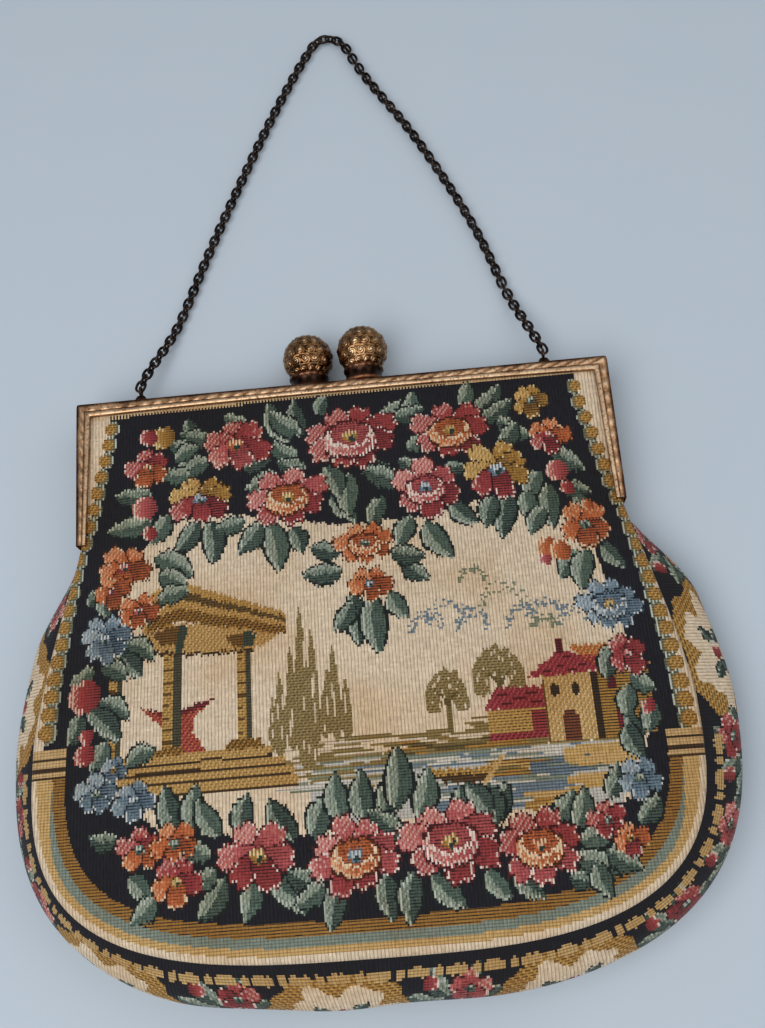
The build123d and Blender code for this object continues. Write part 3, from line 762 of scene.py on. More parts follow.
LEAVES = ((-38, 66, 1.9, 8), (-34, 67, 2.9, 9), (-25, 70, 2.6, 7), (-14, 64, 2.0, 13),
          (-11, 65, 1.7, 11), (-6, 71, 1.2, 6), (10, 69, 0.5, 9), (-35, 61, -2.9, 11),
          (-38, 63, 2.6, 9), (-50, 53, 3.1, 10), (-50, 46, -3.0, 12), (-46, 47, -2.1, 9),
          (-38, 44, -2.2, 10), (-35, 44, -1.5, 12), (-26, 43, -3.0, 8), (-20, 42, -1.4, 14),
          (-22, 42, -2.2, 10), (-14, 40, -1.3, 8), (-4, 47, -0.9, 10), (1, 53, -1.6, 12),
          (-5, 56, -1.2, 10), (13, 52, 3.0, 9), (9, 46, -1.9, 9), (-49, 36, -0.6, 12),
          (-48, 31, -0.6, 9), (-2, 32, 2.9, 8), (-2, 27, -3.1, 10), (16, 66, 1.3, 10),
          (31, 70, 1.2, 7), (34, 67, 0.8, 11), (36, 65, 0.6, 10), (40, 65, -0.6, 10),
          (-18, 56, -2.6, 9), (53, 56, -0.7, 10), (54, 46, -0.3, 8), (57, 43, -0.9, 6),
          (49, 50, -2.0, 9), (51, 46, -1.6, 12), (41, 45, -1.8, 13), (37, 44, -1.9, 9),
          (45, 45, -1.4, 9), (49, 40, -2.1, 8), (26, 43, -0.8, 9), (14, 56, -0.6, 8),
          (19, 38, -1.0, 12), (16, 40, -2.0, 9), (13, 28, -0.7, 8), (10, 31, -0.2, 9),
          (56, 28, -2.2, 9), (58, 28, -1.8, 11), (62, 29, -0.9, 8), (-66, 24, 0.8, 6),
          (-61, 21, 1.7, 7), (-51, 18, 1.4, 6), (-56, 14, -0.6, 9), (-58, 11, -0.8, 9),
          (-62, 9, -0.6, 8), (-64, 8, -2.6, 7), (-62, 0, -0.6, 9), (-65, -2, -0.8, 12),
          (-67, -3, -1.9, 8), (-60, -10, -2.1, 8), (-55, -16, 0.4, 8), (-57, -33, 3.0, 7),
          (-42, -33, 1.9, 12), (-39, -33, 1.5, 11), (-33, -34, 2.1, 10), (-28, -34, 1.4, 9),
          (-16, -36, 2.1, 11), (-12, -36, 1.1, 11), (-5, -33, 1.7, 11), (0, -33, 1.6, 11),
          (4, -33, 1.4, 10), (-32, -43, -2.2, 11), (-26, -44, -1.8, 9), (-22, -44, -0.8, 11),
          (-18, -43, -0.6, 9), (-8, -46, -1.7, 10), (-34, -41, -2.6, 7), (-54, -41, -1.0, 8),
          (4, -45, -1.5, 10), (10, -45, -1.7, 11), (14, -46, -0.8, 10), (26, -46, -0.9, 8),
          (32, -46, -0.8, 9), (44, -48, -0.3, 6), (46, -44, -0.3, 12), (47, -41, 0.3, 9),
          (53, -43, -0.6, 9), (61, -38, 0.8, 8), (7, -31, 1.5, 14), (12, -33, 1.3, 11),
          (21, -35, 1.5, 8), (26, -36, 0.9, 11), (29, -36, 1.7, 9), (42, -36, 0.9, 8),
          (47, -38, 1.3, 9), (55, -32, 1.2, 8), (61, 3, -1.9, 9), (64, -4, -0.7, 7), (63, -7, -1.7, 8),
          (64, -20, 2.0, 7), (0, 20, -1.5, 13), (5, 19, -1.5, 14), (9, 20, -1.0, 8), (0, 18, -2.2, 8),
          (61, -16, -1.2, 9), (66, -18, 1.4, 8), (-48, 24, 0.2, 8), (-12, 59, 2.5, 9),
          (-10, 56, 2.8, 8), (5, 54, -0.4, 13), (16, 59, 0.5, 9), (-11, 66, 2.4, 11), (13, 68, 0.3, 9),
          (-26, 57, 0.4, 8), (-40, 57, 2.9, 8), (-44, 62, 0.4, 7), (40, 58, 0.9, 8), (30, 53, -2.6, 7),
          (-10, -46, -2.6, 8), (-35, -38, 2.7, 8), (28, -34, 2.2, 9), (8, -38, 2.4, 10),
          (50, -46, -1.2, 8), (-48, -46, -2.4, 8))
BLOOMS = ((1.8, 63.6, 14.5, 8, RED, GOLD, 0.74, PINK),
          (-28, 64.5, 10.6, 6, RED, ORANGE, 0.84, None, PINK),
          (27.6, 62.8, 11.5, 7, RED, GOLD, 0.84, ORANGE),
          (-51, 60.4, 7.2, 5, RED, ORANGE, 0.8, None, ORANGE),
          (49, 69.6, 6.0, 5, GOLD, LEAF, 0.9),
          (52.6, 59.5, 6.4, 5, ORANGE, RED, 0.9, None, RED),
          (-37.5, 50, 9.8, 7, GOLD, BLUE, 0.7, None, RED),
          (-15, 48.4, 11.6, 7, PINK, GOLD, 0.82, ORANGE, RED),
          (20, 47.4, 10.4, 6, PINK, BLUE, 0.9, PINK, RED),
          (38.4, 51, 10.4, 7, GOLD, BLUE, 0.84, None, RED),
          (3.9, 33.6, 8.4, 7, ORANGE, LEAF, 0.8, ORANGE),
          (4.5, 22.8, 6.4, 5, ORANGE, BLUE, 0.84),
          (58.6, 34.4, 7.8, 5, ORANGE, LEAF, 0.92),
          (-57, 33.4, 8.0, 5, ORANGE, RED, 0.9),
          (-60, 27.4, 5.4, 4, ORANGE, RED, 0.9),
          (-53, 21.6, 6.4, 5, ORANGE, PINK, 0.84),
          (-61.4, 15.2, 7.8, 7, BLUE, BLUE, 0.9),
          (61.6, 13.4, 9.0, 8, BLUE, GOLD, 0.9, BLUE),
          (64, 0.4, 5.8, 4, RED, PINK, 0.9),
          (-62, -22.3, 6.2, 5, BLUE, LEAF, 0.9),
          (-53, -24.4, 6.0, 5, BLUE, BLUE, 0.9),
          (-58, -17, 4.0, 4, BLUE, GOLD, 0.9),
          (62.3, -28.4, 6.0, 5, BLUE, LEAF, 0.95),
          (-51.5, -35.6, 6.4, 5, RED, LEAF, 0.9, None, ORANGE),
          (-43.4, -34.8, 6.2, 5, ORANGE, LEAF, 0.9),
          (-43, -43.2, 7.0, 5, RED, GOLD, 0.84, None, ORANGE),
          (-24.4, -39, 10.2, 6, PINK, GOLD, 0.86, None, RED),
          (-2.7, -40.4, 11.8, 8, PINK, BLUE, 0.84, ORANGE, RED),
          (18.6, -39, 13.0, 7, PINK, GOLD, 0.78, PINK, RED),
          (38.2, -41.4, 11.2, 7, RED, ORANGE, 0.86, ORANGE, PINK),
          (54, -37, 5.4, 5, RED, LEAF, 0.9),
          (58.4, -41.6, 4.8, 4, ORANGE, GOLD, 0.9, None, RED))
BLOOM_SIZE = 0.95
BUDS = ((-47, 68.6, 3.2, GOLD), (-51, 69, 2.4, RED), (53.5, 49.8, 2.9, PINK), (55.6, 45, 1.9, RED),
        (-52, 49.4, 3.3, PINK), (-50.6, 42.2, 2.0, RED), (-66, 1.2, 4.2, RED), (-65, -8.6, 1.9, RED),
        (-65.4, -13, 2.7, RED), (48.6, 29, 2.8, ORANGE), (51.6, 28, 2.8, ORANGE),
        (47.6, 26, 1.6, PINK), (67, -12, 1.8, RED), (60, 39.8, 1.6, ORANGE))


def garland(canvas):
    """Flowers, buds and leaves all round the picture."""
    for k, (x, y, turn, length) in enumerate(LEAVES):
        leaf(canvas, x, y, turn, length, 2.4 + 0.26 * length, 0.34 + 0.26 * sin(2.4 * k)**2)
    for x, y, radius, *look in BLOOMS:
        flower(canvas, x, y, BLOOM_SIZE * radius, *look, turn=0.6 + 0.37 * x)
    for spot in BUDS:
        bud(canvas, *spot)


BEAD_LINE_Y = (-24, -8, 5, 20, 37, 48, 71)
BEAD_LINE_X = (76.4, 75.6, 74.6, 72.4, 69.6, 66.4, 61)
BEAD_LINE_TOP = 72.0
BEAD_PITCH = 4.4
BEAD_RADIUS = 1.5
BEAD_GROWTH = 0.005
PEDESTALS = ((-1, -11.0), (1, -17.5))
PEDESTAL_HEIGHT = 7.0
PEDESTAL_WIDTH = 8.8
MOULDING = ((5.6, 8.6, BRONZE, 0.8), (1.7, 5.6, STRAW, 0.35), (-2.0, 1.7, CREAM, 0.0))
MOULDING_LINE = 5.6
LINE_WIDTH = 2.2
LINE_TAPER = 22.0


def bead(canvas, sign, y):
    """Gold bead of a column, with a toothed leaf on its inner side."""
    x = sign * np.interp(y, BEAD_LINE_Y, BEAD_LINE_X)
    size = BEAD_RADIUS + BEAD_GROWTH * (BEAD_LINE_TOP - y)
    region, px, py = canvas.window(x - 4, x + 4, y - 4, y + 4)
    py = py - 0.7 * canvas.jag[region[1]]
    off = (np.abs((px - x) / size)**2.5 + np.abs((py - y) / size)**2.5)**0.4
    inner = (px - x) * sign < 0.1 * size
    canvas.fill(region, (off < 1.5) & inner, SAGE * 0.6 + GOLD[0] * 0.2, 0.6, 0.2)
    canvas.fill(region, (off < 1.5) & (off > 1.2) & inner & canvas.tooth[region], LEAF[3], 0.0, 0.2)
    canvas.fill(region, off < 1.0, GOLD[1], 0.65, 0.7)
    canvas.fill(region, (off < 0.8) & canvas.twill[region], GOLD[2], 0.2, 0.8)


def border(canvas):
    """Bead columns beside the frame, pedestals under them and a striped moulding round the bottom."""
    region, px, _ = canvas.window(-np.inf, np.inf, -np.inf, np.inf)
    level = canvas.level(region)
    inset = seam_inset(px, level)
    column = np.interp(level, BEAD_LINE_Y, BEAD_LINE_X)
    canvas.fill(region, np.abs(px) > column + 0.2, CREAM, 0.0, 0.2)
    for sign, top in PEDESTALS:
        below = (np.sign(px) == sign) & (level < top)
        for low, high, colour, hatch in MOULDING:
            canvas.fill(region, below & (inset >= low) & (inset < high), colour, hatch, 0.35)
        line = MOULDING_LINE - LINE_WIDTH * smooth_step((top - PEDESTAL_HEIGHT - level) / LINE_TAPER)
        canvas.fill(region, below & (inset < MOULDING_LINE) & (inset > line), TEAL, 0.35, 0.4)
        for y in np.arange(BEAD_LINE_TOP + 0.5, top + 1.0, -BEAD_PITCH):
            bead(canvas, sign, y)
        block = below & (inset < PEDESTAL_WIDTH) & (level > top - PEDESTAL_HEIGHT)
        canvas.fill(region, block, GOLD[2] * 0.75 + CREAM * 0.25, 0.3, 0.5)
        for drop in (2.2, 4.6, PEDESTAL_HEIGHT - 0.4):
            canvas.fill(region, block & (np.abs(level - top + drop) < 0.4), UMBER, 0.4, 0.3)
    edge = FRAME_TOP - bar_face(px)
    teeth = np.clip(0.6 - 0.01 * px, 0.3, 1.0)
    comb = (level > edge - teeth) & canvas.tooth[region]
    canvas.fill(region, comb | (level > edge - 0.3), STRAW * 0.6 + CREAM * 0.4, 0.0, 0.3)


def panel_design(x, y):
    """Whole design of the front or back panel on a grid of stitches."""
    canvas = Canvas(x, y, NAVY)
    landscape(canvas)
    border(canvas)
    garland(canvas)
    canvas.age()
    return canvas


# Cloth of the bag

BACK_STEP = 2
SEAM_CURL = 1.0
SEAM_CURL_RUN = 1.6
SLACK = 0.55
STRIP_STEP = 0.6
STRIP_ROWS = 44
STRIP_WIDTH = 26.0
STRIP_JAG = 0.35
STRIP_SHIFT = 3.4
CARTOUCHES = (46, 135, 187, 240, 308)
SPRAYS = (18, 70, 90, 110, 161, 213, 265, 285, 336)
CARTOUCHE_LENGTH = 17.0
CARTOUCHE_WIDTH = 9.4
DASH_START = 66.0
DASH_PERIOD = 8.4
DASH_INSET = 2.6
DASH_WIDTH = 2.4
STRIP_TUCK = 0.3
STRIP_LAP = 0.1
STRIP_RIPPLE = 0.35
SIDE_POINTS = 700
MOUTH_TOP = GUSSET_HIGH[1]
MOUTH_RUN = 2.0
MOUTH_TUCK = 3.4
MOUTH_LIFT = 2.0
LINING_INSET = 3.9
LINING_GAP = 0.7
LINING_STEP = 1.5
LINING_MOUTH = 3.6
LINING_EASE = 1.02
LINING_WALL = 7.5
CUT_STEP = 0.5


def to_outline(x, y, inset):
    """Places outside a panel's outline moved onto it, with a mask of those inside."""
    half = side_half_width(y) - inset
    share = round_share(x, y)
    round_in = np.maximum(share, 1e-6) / (1 - inset / SEAM_DEPTH)
    above = y > SEAM_CENTER
    inside = np.where(above, np.abs(x) <= half, round_in <= 1)
    shrink = np.where(~above & (round_in > 1), 1 / round_in, 1)
    moved_x = np.where(above, np.clip(x, -half, half), x * shrink)
    moved_y = np.where(above, y, SEAM_CENTER + (y - SEAM_CENTER) * shrink)
    return moved_x, moved_y, inside


def panel_grid(x, y, inset):
    """Points of a panel, its quads inside the outline, and which points and cells of the grid those are."""
    gx, gy = np.meshgrid(x, y)
    px, py, inside = to_outline(gx, gy, inset)
    faces = grid_faces(len(y), len(x))
    kept = inside.ravel()[faces].any(1)
    used, index = np.unique(faces[kept], return_inverse=True)
    return px.ravel()[used], py.ravel()[used], index.reshape(-1, 4), used, kept


def slack(x, y):
    """Gentle unevenness of old cloth, none at the frame and the seams."""
    free = smooth_step(seam_inset(x, y) / 16) * smooth_step((DOME_TOP - y) / 20)
    waves = np.sin(x / 13 + 1.2 * np.sin(y / 19)) + 0.7 * np.sin(y / 11 + x / 23)
    return free * (waves + 0.5 * np.sin((x - y) / 7.3)) / 2.2


def curl(x, y):
    """Fall of a panel's edge into the seam."""
    edge = np.clip(1 - seam_inset(x, y) / SEAM_CURL_RUN, 0, 1)
    return (1 - np.sqrt(np.clip(1 - edge**2, 0, 1))) * smooth_step((LEG_END - y) / 6)


def stitch_relief(canvas):
    """Heights of the stitches at the corners of the grid."""
    padded = np.pad(canvas.height, 1, mode="edge")
    return (padded[:-1, :-1] + padded[1:, :-1] + padded[:-1, 1:] + padded[1:, 1:]) / 4


def cut_area(top, inset):
    """Flat area of cloth cut to the bag's outline, in square metres."""
    y = np.arange(-SEAM_BOTTOM, top, CUT_STEP) + CUT_STEP / 2
    shrink = 1 - inset / SEAM_DEPTH
    down = np.clip((SEAM_CENTER - y) / (SEAM_DEPTH * shrink), 0, 1)
    round_half = SEAM_HALF * shrink * (1 - down**SEAM_POWER)**(1 / SEAM_POWER)
    half = np.where(y > SEAM_CENTER, side_half_width(y) - inset, round_half)
    return float(2 * CUT_STEP * half.sum()) * MM * MM


def panel_piece(name, x, y, height, colour, hatch, lift):
    """Panel of tapestry from a grid of stitches."""
    px, py, faces, used, kept = panel_grid(x, y, 0.0)
    points = np.stack([px, py, height(px, py, lift.ravel()[used])], 1)
    piece = new_piece(name, points, faces, TAPESTRY)
    set_stitches(piece, colour.reshape(-1, 3)[kept], hatch.ravel()[kept])
    set_weave(piece, px, py)
    return piece


def front_cloth(canvas, x, y):
    """Front panel: arched, slightly uneven, its picture raised by the stitches."""

    def height(px, py, lift):
        raised = RELIEF * lift * smooth_step(seam_inset(px, py) / 4) * smooth_step((DOME_TOP + 3 - py) / 3)
        return front_height(px, py) + SLACK * slack(px, py) + raised - SEAM_CURL * curl(px, py)

    piece = panel_piece("front_tapestry", x, y, height, canvas.colour, canvas.hatch, stitch_relief(canvas))
    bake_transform(piece)
    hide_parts("front_panel")


def back_cloth(canvas, x, y):
    """Back panel, with the same design in coarser stitches, lying on its flat."""

    def height(px, py, lift):
        return back_height(px, py) + SEAM_CURL * curl(px, py)

    colour = canvas.colour[::BACK_STEP, ::-BACK_STEP]
    hatch = canvas.hatch[::BACK_STEP, ::-BACK_STEP]
    rows, columns = hatch.shape
    x = np.linspace(x[0], x[-1], columns + 1)
    y = np.linspace(y[0], y[-1], rows + 1)
    piece = panel_piece("back_tapestry", x, y, height, colour, hatch, np.zeros((rows + 1, columns + 1)))
    piece.data.flip_normals()
    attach(piece, "bag")
    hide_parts("back_panel")


def strip_outline(swell):
    """Dense outline of the bag from the right hinge round the bottom to the left hinge."""
    power = SEAM_POWER + (BULGE_POWER - SEAM_POWER) * swell
    depth = SEAM_DEPTH + BULGE_BOTTOM * swell
    y = np.linspace(HINGE_Y, SEAM_CENTER, SIDE_POINTS, endpoint=False)
    ramp = swell * smooth_step((LEG_END - y) / BULGE_RAMP)
    half = side_half_width(y)
    turn = np.linspace(0, pi, 3 * SIDE_POINTS)
    across = SEAM_HALF + np.where(turn < pi / 2, BULGE_RIGHT, BULGE_LEFT) * swell
    round_x = np.sign(np.cos(turn)) * across * np.abs(np.cos(turn))**(2 / power)
    round_y = SEAM_CENTER - depth * np.clip(np.sin(turn), 0, 1)**(2 / power)
    xs = np.concatenate([half + BULGE_RIGHT * ramp, round_x, -(half + BULGE_LEFT * ramp)[::-1]])
    return xs, np.concatenate([y, round_y, y[::-1]])


def cartouche(canvas, x, middle):
    """Cream shield with a scrolled gold edge and a small sprig."""
    region, px, py = canvas.window(x - 24, x + 24, 0, STRIP_WIDTH)
    u = (px - x) / CARTOUCHE_LENGTH
    v = (py - middle) / CARTOUCHE_WIDTH
    turn = np.arctan2(v, u)
    scroll = 0.07 * np.cos(6 * turn) + 0.05 * np.cos(10 * turn + 0.8)
    off = np.hypot(u, v)
    canvas.fill(region, off < 1.06 + scroll, GOLD[1], 0.7, 0.4)
    canvas.fill(region, (off < 1.06 + scroll) & canvas.twill[region], GOLD[2], 0.3, 0.4)
    canvas.fill(region, off < 0.76 + 1.7 * scroll, CREAM, 0.0, 0.5)
    for tilt in (0.5, 2.5, 3.9, 5.5):
        leaf(canvas, x + 3 * cos(tilt), middle, tilt, 5.0, 2.4, 0.15)
    bud(canvas, x, middle, 1.8, RED)


def spray(canvas, x, middle, first, second):
    """Bunch of two flowers with leaves and buds."""
    for tilt in (0.3, 1.0, 2.1, 2.8, 3.5, 4.2, 5.2, 6.0):
        leaf(canvas, x + 2 * cos(tilt), middle + 3 * sin(tilt), tilt, 9.0, 4.6, 0.4 + 0.15 * sin(3 * tilt))
    flower(canvas, x - 3.4, middle + 4.4, 5.6, 5, first, LEAF)
    flower(canvas, x + 3.6, middle - 4.2, 5.2, 5, second, GOLD)
    bud(canvas, x + 5.4, middle + 6.4, 1.9, RED)
    bud(canvas, x - 5.6, middle - 6.2, 1.9, ORANGE)


def strip_design(length):
    """Design of the strip: cartouches between sprays, and gold dashes along the seams round the bottom."""
    rows = (np.arange(STRIP_ROWS) + 0.5) * STRIP_WIDTH / STRIP_ROWS
    canvas = Canvas(np.arange(STRIP_STEP / 2, length, STRIP_STEP), rows, NAVY, STRIP_JAG)

    def middle(x):
        beside = x < DASH_START or x > length - DASH_START
        return STRIP_WIDTH / 2 + (STRIP_SHIFT if beside else 0)

    for x in CARTOUCHES:
        cartouche(canvas, x, middle(x))
    for k, x in enumerate(SPRAYS):
        spray(canvas, x, middle(x), (PINK, RED)[k % 2], (ORANGE, PINK)[k % 2])
    for low in (DASH_INSET, STRIP_WIDTH - DASH_INSET - DASH_WIDTH):
        for x in np.arange(DASH_START, length - DASH_START, DASH_PERIOD):
            for center, half in ((x + 2.4, 2.4), (x + 6.4, 1.0)):
                region, px, py = canvas.window(center - half, center + half, low - 1, low + DASH_WIDTH + 1)
                off = ((px - center) / half)**4 + ((py - low) * 2 / DASH_WIDTH - 1)**2
                canvas.fill(region, off < 1, GOLD[2] * 0.85 + CREAM * 0.15, 0.45, 0.5)
    canvas.age()
    return canvas


def gusset_cloth():
    """Strip round the sides and bottom, bulging between the seams."""
    share = np.linspace(0, 1, 400)
    bow = np.hypot(pi * BULGE_BOTTOM * np.cos(pi * share), FRONT_SEAM_HEIGHT - BACK_EDGE - SEAM_CURL)
    spread = np.concatenate([[0], np.cumsum((bow[1:] + bow[:-1]) / 2)])
    rows = np.interp(np.linspace(0, spread[-1], STRIP_ROWS + 1), spread, share)
    mid_x, mid_y = strip_outline(0.6)
    run = np.concatenate([[0], np.cumsum(np.hypot(np.diff(mid_x), np.diff(mid_y)))])
    columns = int(run[-1] / STRIP_STEP)
    stops = np.linspace(0, run[-1], columns + 1)
    low = BACK_EDGE + SEAM_CURL - STRIP_LAP
    points = []
    for s in rows:
        x, y = [np.interp(stops, run, line) for line in strip_outline(sin(pi * s))]
        tuck = STRIP_TUCK * (1 - np.clip(min(s, 1 - s) * 12, 0, 1))
        pull = 1 - tuck / np.maximum(np.hypot(x, y - SEAM_CENTER), 1)
        high = FRONT_EDGE + FRONT_SLOPE * (LEG_END - y) - SEAM_CURL + STRIP_LAP
        high = high + (PARTING + MOUTH_LIFT - high) * smooth_step((y - MOUTH_TOP) / (2 * MOUTH_RUN))
        x = x - np.sign(x) * MOUTH_TUCK * smooth_step((y - MOUTH_TOP + MOUTH_RUN) / MOUTH_RUN)
        ripple = STRIP_RIPPLE * sin(pi * s) * np.sin(stops / 9 + 2 * np.sin(stops / 31))
        ripple = ripple / np.maximum(np.hypot(x, y - SEAM_CENTER), 1)
        reach = pull + ripple * smooth_step((LEG_END - 10 - y) / 20)
        place = (x * reach, SEAM_CENTER + (y - SEAM_CENTER) * reach, low + (high - low) * s)
        points.append(np.stack(place, 1))
    canvas = strip_design(run[-1])
    faces = grid_faces(STRIP_ROWS + 1, columns + 1)
    piece = new_piece("gusset_tapestry", np.concatenate(points), faces, TAPESTRY)
    set_stitches(piece, canvas.colour[:, :columns].reshape(-1, 3), canvas.hatch[:, :columns].ravel())
    across = np.repeat(np.linspace(0, STRIP_WIDTH, STRIP_ROWS + 1), columns + 1)
    set_weave(piece, np.tile(stops, STRIP_ROWS + 1), across)
    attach(piece, "bag")
    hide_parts("gusset")


def lining_cloth():
    """Satin lining in two parts: behind the front panel, and over the back, the sides and the bottom."""
    y = np.arange(-SEAM_BOTTOM, CHANNEL_TOP - LINING_MOUTH + LINING_STEP / 2, LINING_STEP)
    x = np.arange(-SEAM_HALF, SEAM_HALF + LINING_STEP, LINING_STEP)
    px, py, faces, _, _ = panel_grid(x, y, LINING_INSET)
    top = FRONT_EDGE + FRONT_SLOPE * np.clip(LEG_END - py, 0, None) - CLOTH - LINING_GAP
    floor = BACK_EDGE + CLOTH + LINING_GAP
    soft = 0.25 * np.sin(px / 6 + np.sin(py / 9)) * smooth_step((CHANNEL_TOP - 8 - py) / 12)
    inset = seam_inset(px, py) - LINING_INSET
    wall = np.where(py < LEG_END, (1 - smooth_step(inset / 5))**2, 0) * smooth_step((LEG_END - 4 - py) / 8)
    rise = floor + (top - 0.6 - floor) * wall + soft * (1 - wall)
    front = new_piece("front_lining", np.stack([px, py, top + soft - 0.25], 1), faces, SATIN)
    back = new_piece("back_lining", np.stack([px, py, rise], 1), faces, SATIN)
    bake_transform(front)
    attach(back, "bag")
    seam_x, seam_y = strip_outline(0.0)
    seam_length = float(np.sum(np.hypot(np.diff(seam_x), np.diff(seam_y))))
    front_area = LINING_EASE * cut_area(CHANNEL_TOP - LINING_MOUTH, LINING_INSET)
    back_area = front_area + LINING_WALL * seam_length * MM * MM
    for piece, flat, area in ((front, (0.154, 0.139), front_area), (back, (0.168, 0.147), back_area)):
        set_weave(piece, px, py)
        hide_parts("lining")


# Metal of the frame, clasp and chain

PARTING_GAP = 0.3
CORNER_RADIUS = 1.2
EDGE_ROUND = 0.5
FACE_RINGS = 25
LIP_SHARE = 0.36
LIP_HEIGHT = 0.32
ROPE_PITCH = 3.6
ROPE_HEIGHT = 0.2
EAR_RADIUS = 2.6
EAR_BEVEL = 0.15
EAR_ROOM = 3.0
INNER_EAR = FRAME_HALF - SHEET - 0.2
RIVET_PLAY = 0.1
FRAME_STEP = 0.3
BALL_RADIUS = 6.5
BALL_LIFT = 0.55
BALL_END = 2.4
BALL_RISE = 9.8
SCROLL_ROWS = 7.4
SCROLLS = 14
CLASPS = (("front", 6.4, 1, "front_half"), ("back", -8.5, -1, "bag"))
CLASP_OFFSET = 1.2
COLLAR_RADIUS = 5.2
COLLAR_PLAY = 0.3
LUG_X = 54.6
EYE_RISE = 5.6
EYE_DROP = 2.2
EYE_HOLE = 0.9
EYE_WIRE = 0.65
LINK_LENGTH = 3.8
LINK_WIDTH = 3.0
LINK_WIRE = 0.75
# A link of the CAD model has 12 walls of 4 corners and 2 faces of 12
CORNERS_PER_LINK = 12 * 4 + 2 * 12


def metal_piece(name, grids, material, body, node):
    """Metal piece from grids of rings with their ridge values (dark in the hollows, painted highlight on
    the ridges), riding a body in place of a CAD node.
    """
    points, faces, ridges, start = [], [], [], 0
    for grid, ridge in grids:
        rows, columns, _ = grid.shape
        points.append(grid.reshape(-1, 3))
        ridges.append(np.broadcast_to(ridge, (rows, columns)).ravel())
        faces.append(grid_faces(rows, columns, wrap=True) + start)
        start += rows * columns
    piece = new_piece(name, np.concatenate(points), np.concatenate(faces), METAL[material])
    values = piece.data.attributes.new("ridge", "FLOAT", "POINT")
    values.data.foreach_set("value", np.concatenate(ridges).astype(np.float32))
    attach(piece, body)
    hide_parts(node)
    return piece


def frame_path():
    """Outer and inner edge of the U-shaped face, and the run along it from the left foot to the right."""
    leg = FRAME_TOP - LEG_END
    leg_steps = int(leg / FRAME_STEP)
    bar_steps = int(2 * FRAME_HALF / FRAME_STEP)
    left_leg = np.linspace(0, 1, leg_steps, endpoint=False)
    bar = np.linspace(1, 2, bar_steps, endpoint=False)
    places = np.concatenate([left_leg, bar, np.linspace(2, 3, leg_steps + 1)])
    corners = np.arange(4)

    def edge(foot, knee, top):
        x = np.interp(places, corners, (-foot, -knee, knee, foot))
        return np.stack([x, np.interp(places, corners, (LEG_END, top, top, LEG_END))], 1)

    outer = edge(FRAME_HALF, FRAME_HALF, FRAME_TOP)
    inner = edge(FRAME_HALF - LEG_END_FACE, FRAME_HALF - DRAWN_FACE, FRAME_TOP - DRAWN_FACE)
    on_bar = (places >= 1) & (places <= 2)
    inner[:, 1] = np.where(on_bar, FRAME_TOP - bar_face(inner[:, 0]), inner[:, 1])
    return outer, inner, np.interp(places, corners, np.cumsum([0, leg, 2 * FRAME_HALF, leg]))


def frame_shell(side):
    """Folded U channel of one half, with rope strokes on its face, a lip and rounded corners."""
    outer, inner, along = frame_path()
    on_leg = np.abs(outer[:, 0]) >= FRAME_HALF - 1e-6
    down = (FRAME_TOP - outer[:, 1]) / (FRAME_TOP - LEG_END)
    width = np.where(on_leg, DRAWN_FACE + (LEG_END_FACE - DRAWN_FACE) * down, bar_face(inner[:, 0]))
    band = width * (1 - LIP_SHARE)
    even = 0 * along
    low = PARTING_GAP / 2 + even
    if side < 0:
        off = outer[:, 1] - HINGE_Y
        room = np.sqrt(np.clip(EAR_ROOM**2 - off**2, 0, None))
        low = np.where(off < 0, HALF_DEPTH - SHEET, np.maximum(low, room))
    rings = []
    for share in np.linspace(0, 1, FACE_RINGS):
        s = share * width
        window = smooth_step((s - 0.4) / 0.8) * smooth_step((band - s) / 0.5)
        rope = ROPE_HEIGHT * window * np.abs(np.cos(pi * (along + s) / ROPE_PITCH))**2.2
        lip_place = np.clip((s - band) / (width - band), 0, 1)
        lip = LIP_HEIGHT * np.sin(pi * (0.12 + 0.76 * lip_place))**0.6 * (lip_place > 0)
        edge = EDGE_ROUND * (1 - np.sqrt(np.clip(1 - np.clip(1 - s / EDGE_ROUND, 0, 1)**2, 0, 1)))
        # Ridge values: the rope strokes and the lip are high and get the painted highlight
        ridge = np.maximum(0.46 * window + rope / ROPE_HEIGHT * 0.34, lip / LIP_HEIGHT * 0.88) + 0.06
        rings.append((share, HALF_DEPTH + rope + lip - edge, ridge))
    wall = SHEET / np.hypot(*(inner - outer).T)
    for share in (1.0, 0.6, wall):
        rings.append((share, HALF_DEPTH - SHEET + even, 0.3 + even))
    top = HALF_DEPTH - EDGE_ROUND
    for share, lift, ridge in ((wall, 0, 0.2), (0, 0, 0.2), (0, 0.12, 0.4), (0, 0.5, 0.2), (0, 0.85, 0.2)):
        rings.append((share, np.minimum(low + lift * (top - low), top), ridge + even))
    center = np.array([FRAME_HALF - CORNER_RADIUS, FRAME_TOP - CORNER_RADIUS])
    grid = []
    for share, height, _ in rings[::side]:
        plan = outer + (inner - outer) * np.broadcast_to(share, along.shape)[:, None]
        off = np.stack([np.abs(plan[:, 0]), plan[:, 1]], 1) - center
        beyond = np.where((off > 0).all(1), np.maximum(np.hypot(*off.T) / CORNER_RADIUS, 1), 1)
        rounded = center + off / beyond[:, None]
        x = np.sign(plan[:, 0]) * rounded[:, 0]
        grid.append(np.stack([x, rounded[:, 1], PARTING + side * height], 1))
    return np.stack(grid, 1), np.stack([ridge for _, _, ridge in rings[::side]], 1)


def lathe(profile, center, axis, count=32):
    """Rings of points round an axis, from pairs of place along it and radius, closed by their own ends."""
    turn = np.linspace(0, 2 * pi, count, endpoint=False)
    rings = []
    for place, radius in profile:
        ring = np.zeros((count, 3))
        first, second = [(1, 2), (2, 0), (0, 1)][axis]
        ring[:, axis] = place
        ring[:, first] = radius * np.cos(turn)
        ring[:, second] = radius * np.sin(turn)
        rings.append(ring + center)
    return np.array(rings)


def on_side(grid, sign):
    """Grid made for the right side, mirrored for the left one."""
    return grid if sign > 0 else (grid * (-1, 1, 1))[:, ::-1]


